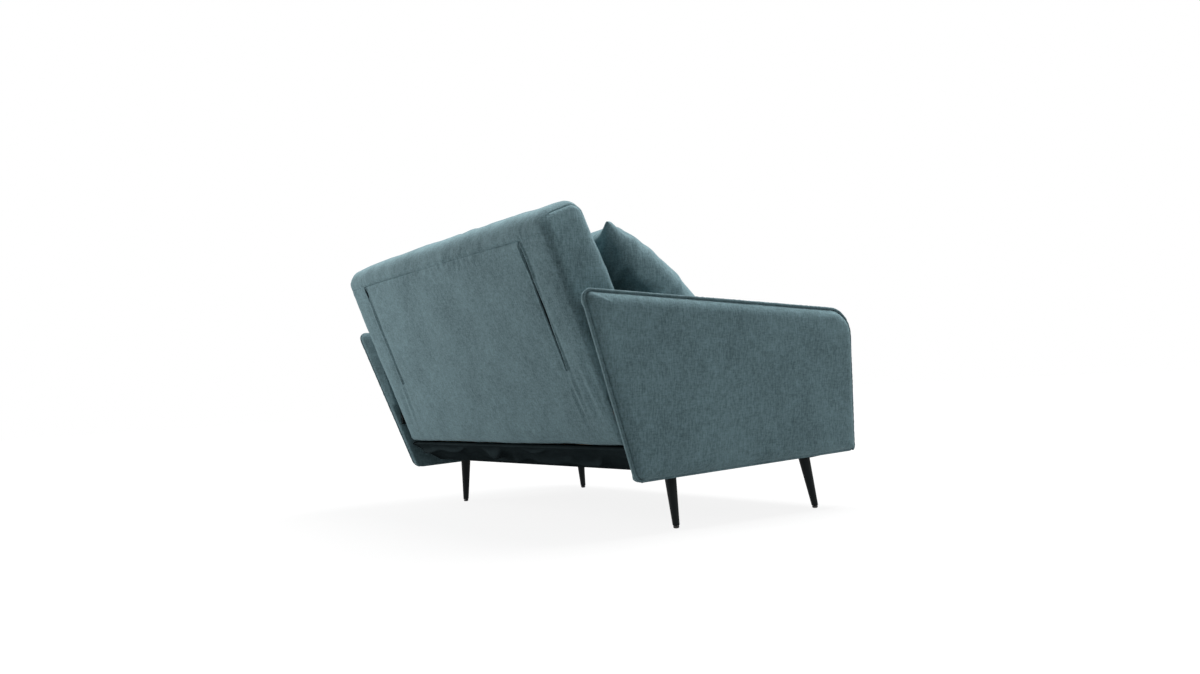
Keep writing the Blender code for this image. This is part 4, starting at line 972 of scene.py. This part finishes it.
pillow = dict(
    size=0.450,
    lean=math.radians(45.3),
    front=0.130,
    rear=0.074,
    fullness=0.4,
    cells=60,
    start=0.85,
    sunk=0.16,
    pinch=0.095,
    footPinch=0.035,
    gather=0.0060,
    puff=0.0036,
    ear=0.0190,
    rimSharp=0.8,
    run=dict(pressure=4.0, cap=0.022),
)
pillowFolds = [  # on the rear face, in shares of half the size from its middle: start, end, height and half width
    ((-1.02, 0.66), (-0.50, 0.40), 0.0120, 0.045),
    ((-1.02, 0.28), (-0.35, 0.14), 0.0090, 0.050),
    ((-0.60, 1.02), (-0.45, 0.55), 0.0050, 0.040),
    ((-0.15, 1.02), (-0.10, 0.62), 0.0040, 0.045),
]


def makePillow():
    rise = np.array((0, math.sin(pillow["lean"]), math.cos(pillow["lean"])))
    rear = np.array((0, math.cos(pillow["lean"]), -math.sin(pillow["lean"])))
    half = pillow["size"] / 2
    low, high = span("throw_pillow", rise)
    across = span("throw_pillow", (1, 0, 0))
    seamPlane = span("throw_pillow", rear)[1] - pillow["rear"]
    middle = np.array((sum(across) / 2, 0, 0)) + rise * (low + high) / 2 + rear * seamPlane
    count = pillow["cells"] + 1
    steps = np.linspace(-1, 1, count)
    steps = np.sign(steps) * (1 - (1 - np.abs(steps)) ** 1.25)  # closer rows at the rim
    a, b = (grid.reshape(-1) for grid in np.meshgrid(steps, steps, indexing="ij"))
    fill = np.clip((1 - a * a) * (1 - b * b), 0, 1) ** pillow["fullness"]
    draw = np.where(b > 0, pillow["pinch"], pillow["footPinch"])  # it lies flat along its lower edge
    x = half * a * (1 - pillow["footPinch"] * (1 - b * b) * a * a)
    z = half * b * (1 - draw * (1 - a * a) * b * b)
    rim = (np.abs(a) > 0.999) | (np.abs(b) > 0.999)
    inner = np.flatnonzero(~rim)
    index = np.arange(count * count)
    other = index.copy()
    other[inner] = count * count + np.arange(len(inner))
    faces = []
    for grid in (index.reshape(count, count), other.reshape(count, count)):
        quads = np.stack((grid[:-1, :-1], grid[1:, :-1], grid[1:, 1:], grid[:-1, 1:]), -1)
        faces += quads.reshape(-1, 4).tolist()

    def filled(share):  # both faces at a share of their depths from the seam plane
        front, back = (np.column_stack((x, share * depth * fill, z)) for depth in (-pillow["front"], pillow["rear"]))
        return np.vstack((front, back[inner]))

    points = filled(1.0)
    onRim = np.append(rim, np.zeros(len(inner), bool))
    seedling = filled(pillow["start"])
    points = fitted(seedling + swollen(seedling, faces, onRim, **pillow["run"]), points)
    points = pillowCreases(points, faces)
    room = points[:, :1] * np.array((1, 0, 0)) + points[:, 2:] * rise + points[:, 1:2] * rear + middle
    piece = makeObject("pillowCover", room, faces)
    sharpness = piece.data.attributes.new("crease_edge", "FLOAT", "EDGE")
    rims = [pillow["rimSharp"] * (onRim[p] and onRim[q]) for p, q in piece.data.edge_keys]
    sharpness.data.foreach_set("value", rims)
    subdivide(piece)
    dress(piece, "grey_teal_velvet", "pillow", "throw_pillow", fill=0.75)


def fitted(blown, full):  # the filled cover, brought to the pillow's real thickness and nowhere thinner than its form
    depth = blown[:, 1]
    forward = full[:, 1] < 0
    depth = depth * np.where(forward, pillow["front"] / -depth.min(), pillow["rear"] / depth.max())
    least = 0.97 * full[:, 1]
    depth = np.where(forward, np.minimum(depth, least), np.maximum(depth, least))
    sunk = 1 - pillow["sunk"] * full[:, 2] / (pillow["size"] / 2)  # the filling has sunk a little
    return np.column_stack((blown[:, 0], np.where(forward, depth * sunk, depth), blown[:, 2]))


def pillowCreases(points, faces):  # gathers that fan out of the corners, puffs along the seam and a few folds
    half = pillow["size"] / 2
    a, b = points[:, 0] / half, points[:, 2] / half
    edge = 1 - np.maximum(np.abs(a), np.abs(b))
    along = np.where(np.abs(a) > np.abs(b), b, a)
    offset = 0.0012 * waves(points, 0.13, 61)
    for sx, sz in oblong((-1, -1), (1, 1)):
        dx, dz = 1 - sx * a, 1 - sz * b
        valley = (1 - np.abs(np.sin(np.arctan2(dz, dx) * 4.5 + sx + 2 * sz))) ** 2
        offset = offset + pillow["gather"] * (0.3 - valley) * bell((np.hypot(dx, dz) - 0.30) / 0.18)
    puff = np.sin(along * 14 + 1.8 * waves(points, 0.15, 62) + 2 * np.sign(points[:, 1]))
    offset = offset + pillow["puff"] * puff * np.exp(-edge / 0.22) * ease(edge / 0.08)
    for fold in pillowFolds:
        offset = offset + np.where(points[:, 1] > 0, crease(a, b, *fold), 0) * ease(edge / 0.03)
    out = raised(points, faces, offset)
    out[:, 1] += 0.0045 * waves(points * np.array((1, 0, 1)), 0.15, 63) * np.exp(-np.clip(edge, 0, 1) / 0.12)
    ear = pillow["ear"] * bell(np.hypot(1 - np.abs(a), 1 - np.abs(b)) / 0.12)
    out[:, 0] += 0.9 * ear * np.sign(a)
    out[:, 2] += ear * np.sign(b)
    return out


def subdivide(piece):
    modifier = piece.modifiers.new("finer", "SUBSURF")
    modifier.levels = modifier.render_levels = 1
    evaluated = piece.evaluated_get(bpy.context.evaluated_depsgraph_get())
    mesh = bpy.data.meshes.new_from_object(evaluated)
    old = piece.data
    piece.modifiers.remove(modifier)
    piece.data = mesh
    bpy.data.meshes.remove(old)
    piece.data.shade_smooth()


makePillow()
print("pillow made")


# black cloth under and behind the base

dust = dict(foldHeight=0.0120, sag=0.0022, rows=(60, 40, 14), columns=190, stapleStep=0.055, stapleIn=0.010)


def makeDustCloth():  # one cloth, under the base, up behind it and over the batten
    flatLow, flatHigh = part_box("dust_cover")
    battenLow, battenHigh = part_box("dust_batten")
    slope = nodePoints("rear_dust_panel")
    foot, head = (slope[np.argsort(way * slope[:, 2])[:4]].mean(0) for way in (1, -1))
    level = (flatLow.z + flatHigh.z) / 2
    over = battenHigh.z + 0.0042
    corners = [(flatLow.y, level), (foot[1], level), (head[1], head[2]), (battenHigh.y, over), (battenLow.y, over)]
    runs = np.cumsum([0] + [math.dist(p, q) for p, q in zip(corners, corners[1:])])
    stops = (0, runs[1], runs[2], runs[4])
    down = [np.linspace(p, q, rows) for p, q, rows in zip(stops, stops[1:], dust["rows"])]
    down = np.concatenate((down[0], down[1][1:], down[2][1:]))
    y, z = (np.interp(down, runs, [corner[k] for corner in corners]) for k in (0, 1))
    halfWidth = arm["footHalf"] + (level - arm["footZ"]) * math.tan(arm["flare"]) - arm["panelDeep"] - 0.0006
    spread = halfWidth + (z - level) * math.tan(arm["flare"])
    xs = np.linspace(-1, 1, dust["columns"])
    grid = np.zeros((len(down), len(xs), 3))
    grid[..., 0], grid[..., 1], grid[..., 2] = xs[None] * spread[:, None], y[:, None], z[:, None]
    behind = ease((down - stops[1] - 0.012) / 0.035) * ease((stops[2] - down - 0.004) / 0.03)
    sag = ease(down / 0.08) * ease((stops[1] - down) / 0.08)
    drift = waves(grid * np.array((0.35, 1, 1)), 0.09, 71)
    fold = np.sin(down[:, None] * 118 + 1.6 * drift + grid[..., 0] * 2.1) + 0.5 * drift
    outward = unit(np.array((0, math.sin(math.atan2(head[2] - level, head[1] - foot[1])), -0.9)))
    slack = ease((1 - np.abs(xs)) / 0.07)[None]  # held flat at its sides
    lump = dust["foldHeight"] * behind[:, None] * slack * (0.12 + np.clip(0.5 + 0.36 * fold, 0, 1.2) ** 3)
    droop = dust["sag"] * sag[:, None] * (1 + 0.6 * waves(grid, 0.16, 72))
    grid = grid + lump[..., None] * outward - droop[..., None] * np.array((0, 0, 1.0))
    piece = makeObject("dustCloth", grid.reshape(-1, 3), ringFaces(len(down), len(xs), closed=False))
    dress(piece, "black_dust_cloth", "base", "dust_cover", "rear_dust_panel")
    makeStaples(flatLow, flatHigh)


def makeStaples(low, high):  # a row along the front edge and along each side of the flat cloth
    points, faces = [], []
    cube = np.array([(i, j, k) for i in (-1, 1) for j in (-1, 1) for k in (-1, 1)], float)
    wire = cube * np.array((0.0055, 0.0006, 0.0004))
    quads = [(0, 1, 3, 2), (4, 6, 7, 5), (0, 4, 5, 1), (2, 3, 7, 6), (0, 2, 6, 4), (1, 5, 7, 3)]
    inset, step = dust["stapleIn"], dust["stapleStep"]
    places = [(x, low.y + inset, 0) for x in np.arange(low.x + 0.04, high.x - 0.03, step)]
    for y in np.arange(low.y + 0.05, high.y - 0.03, step):
        places += [(x, y, math.pi / 2) for x in (low.x + inset, high.x - inset)]
    chance = np.random.default_rng(81)
    for number, (x, y, turn) in enumerate(places):
        flat = turned(wire[:, 0], wire[:, 1], turn + chance.normal(0, 0.12)) + (x, y)
        points.append(np.column_stack((flat, wire[:, 2] + low.z + 0.0002)))
        faces += [tuple(8 * number + q for q in quad) for quad in quads]
    piece = makeObject("dustStaples", np.vstack(points), faces)
    piece.data.shade_flat()
    dress(piece, "zinc_plated_steel", "base")


makeDustCloth()
print("dust cloth made")


# legs

leg = dict(around=40, plateRadius=0.0235, plateHeight=0.0022, ringHeight=0.0007, ringRadius=0.0074)


def disc(centre, radius):
    angles = np.linspace(0, 2 * math.pi, leg["around"], endpoint=False)
    return centre + np.column_stack((radius * np.cos(angles), radius * np.sin(angles), np.zeros(leg["around"])))


def makeLeg(name):
    points = nodePoints("leg_" + name)
    footZ, topZ = points[:, 2].min(), points[:, 2].max()
    lower = points[:, 2] < (footZ + topZ) / 2
    ends = [(part.min(0) + part.max(0)) / 2 for part in (points[lower], points[~lower])]
    foot, top = ends[0] * (1, 1, 0) + (0, 0, footZ), ends[1] * (1, 1, 0) + (0, 0, topZ)
    footRadius, topRadius = np.ptp(points[lower][:, 0]) / 2, np.ptp(points[~lower][:, 0]) / 2
    turns = [(0.0, -0.0012), (0.006, -0.0003)] + [(share, 0.0) for share in (0.014, 0.2, 0.45, 0.7, 0.955)]
    sections = [(share, footRadius + (topRadius - footRadius) * share + extra) for share, extra in turns]
    plateFoot, plate = topZ - leg["plateHeight"], leg["plateRadius"]
    for z, radius in (
        (plateFoot - 0.0015, topRadius),
        (plateFoot - 0.0003, topRadius + 0.0012),
        (plateFoot, plate - 0.0006),
        (plateFoot + 0.0006, plate),
        (topZ, plate),
    ):
        sections.append(((z - footZ) / (topZ - footZ), radius))
    piece = skin("legTube_" + name, [disc(foot + (top - foot) * share, radius) for share, radius in sections])
    piece.data.set_sharp_from_angle(angle=math.radians(40))
    dress(piece, "black_painted_metal", "base", "leg_" + name)


def makeGlide(name):  # a rounded foot with a bright washer above it
    low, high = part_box("glide_" + name)
    centre = np.array(((low.x + high.x) / 2, (low.y + high.y) / 2, 0))
    radius, edge = (high.x - low.x) / 2, leg["ringRadius"]
    washer = high.z - leg["ringHeight"]
    foot = [(0.0, 0.60), (0.0006, 0.80), (0.0016, 0.94), (0.0030, 1), (washer - 0.0002, 1)]
    piece = skin("glideFoot_" + name, [disc(centre + (0, 0, z), radius * share) for z, share in foot])
    dress(piece, "black_plastic", "base", "glide_" + name)
    rim = [(washer, edge - 0.0004), (washer + 0.0004, edge), (high.z - 0.0004, edge), (high.z, edge - 0.0004)]
    ring = skin("glideWasher_" + name, [disc(centre + (0, 0, z), r) for z, r in rim])
    dress(ring, "zinc_plated_steel", "base")


for end in ("front", "rear"):
    for legSide in sides:
        makeLeg(end + "_" + legSide)
        makeGlide(end + "_" + legSide)
print("legs made")


# room, light and camera

room = dict(
    floorSize=40.0,
    floorColour=(0.40, 0.40, 0.40, 1),
    glowShare=0.70,
    glowNear=1.24,
    glowFar=1.45,
    worldStrength=0.275,
)
lamps = dict(
    rearSoftbox=dict(place=(2.1, 2.2, 1.2), target=(0, 0.2, 0.45), size=2.0, power=46.0),
    topSoftbox=dict(place=(-0.4, -0.7, 3.2), target=(0, 0, 0.4), size=2.6, power=145.0),
    frontFill=dict(place=(-3.0, -2.0, 1.5), target=(0, 0, 0.45), size=2.2, power=16.0),
)
view = dict(
    place=(-2.8395, 1.7372, 0.3636),
    right=(-0.538, -0.8409, -0.0577),
    forward=(0.8401, -0.5406, 0.045),
    lens=33.0,
)
white = (1, 1, 1, 1)


def seenBy(tree, *rays):  # 1 for the rays that see the room, 0 for those that light the object
    path = add(tree, "LightPath").outputs
    seen = path[rays[0]]
    for ray in rays[1:]:
        seen = maths(tree, "MAXIMUM", seen, path[ray])
    return seen


def showMixed(tree, end, share, lit, shown):
    blend = add(tree, "MixShader", {0: share, 1: lit.outputs[0], 2: shown.outputs[0]})
    tree.links.new(blend.outputs[0], tree.nodes[end].inputs[0])


def makeFloor():
    half = room["floorSize"] / 2
    floor = makeObject("floor", [(x, y, 0) for x, y in oblong((-half, -half), (half, half))], [(0, 1, 2, 3)])
    material = bpy.data.materials.new("paleFloor")
    material.use_nodes = True
    tree = material.node_tree
    shader = tree.nodes["Principled BSDF"]
    shader.inputs["Base Color"].default_value = room["floorColour"]
    shader.inputs["Roughness"].default_value = 0.9
    away = add(tree, "VectorMath", {0: add(tree, "TexCoord").outputs["Object"]}, operation="LENGTH").outputs["Value"]
    strength = ramp(tree, away, 1.0, 3.5, room["glowNear"], room["glowFar"])
    glow = add(tree, "Emission", {"Color": white, "Strength": strength})
    share = maths(tree, "MULTIPLY", seenBy(tree, "Is Camera Ray", "Is Glossy Ray"), room["glowShare"])
    showMixed(tree, "Material Output", share, shader, glow)
    floor.data.materials.append(material)


def makeWorld():
    world = bpy.data.worlds.new("studio")
    world.use_nodes = True
    tree = world.node_tree
    lit = tree.nodes["Background"]
    lit.inputs["Color"].default_value = white
    lit.inputs["Strength"].default_value = room["worldStrength"]
    shown = add(tree, "Background", {"Color": white, "Strength": 1.0})
    seen = seenBy(tree, "Is Camera Ray", "Is Glossy Ray", "Is Transmission Ray")
    showMixed(tree, "World Output", seen, lit, shown)
    bpy.context.scene.world = world


def makeLamp(name, place, target, size, power):
    lamp = bpy.data.lights.new(name, "AREA")
    lamp.shape = "DISK"
    lamp.size = size
    lamp.energy = power
    holder = linked(name, lamp)
    holder.location = place
    holder.rotation_euler = (Vector(target) - Vector(place)).to_track_quat("-Z", "Y").to_euler()


def makeCamera():
    right = Vector(view["right"]).normalized()
    forward = Vector(view["forward"])
    forward = (forward - forward.dot(right) * right).normalized()
    matrix = Matrix((right, right.cross(forward), -forward)).transposed().to_4x4()
    matrix.translation = Vector(view["place"])
    lens = bpy.data.cameras.new("photoView")
    lens.sensor_width = 36.0
    lens.lens = view["lens"]
    camera = linked("photoView", lens)
    camera.matrix_world = matrix
    bpy.context.scene.camera = camera


makeFloor()
makeWorld()
for lampName, lamp in lamps.items():
    makeLamp(lampName, **lamp)
makeCamera()
bpy.context.scene.view_settings.view_transform = "Standard"
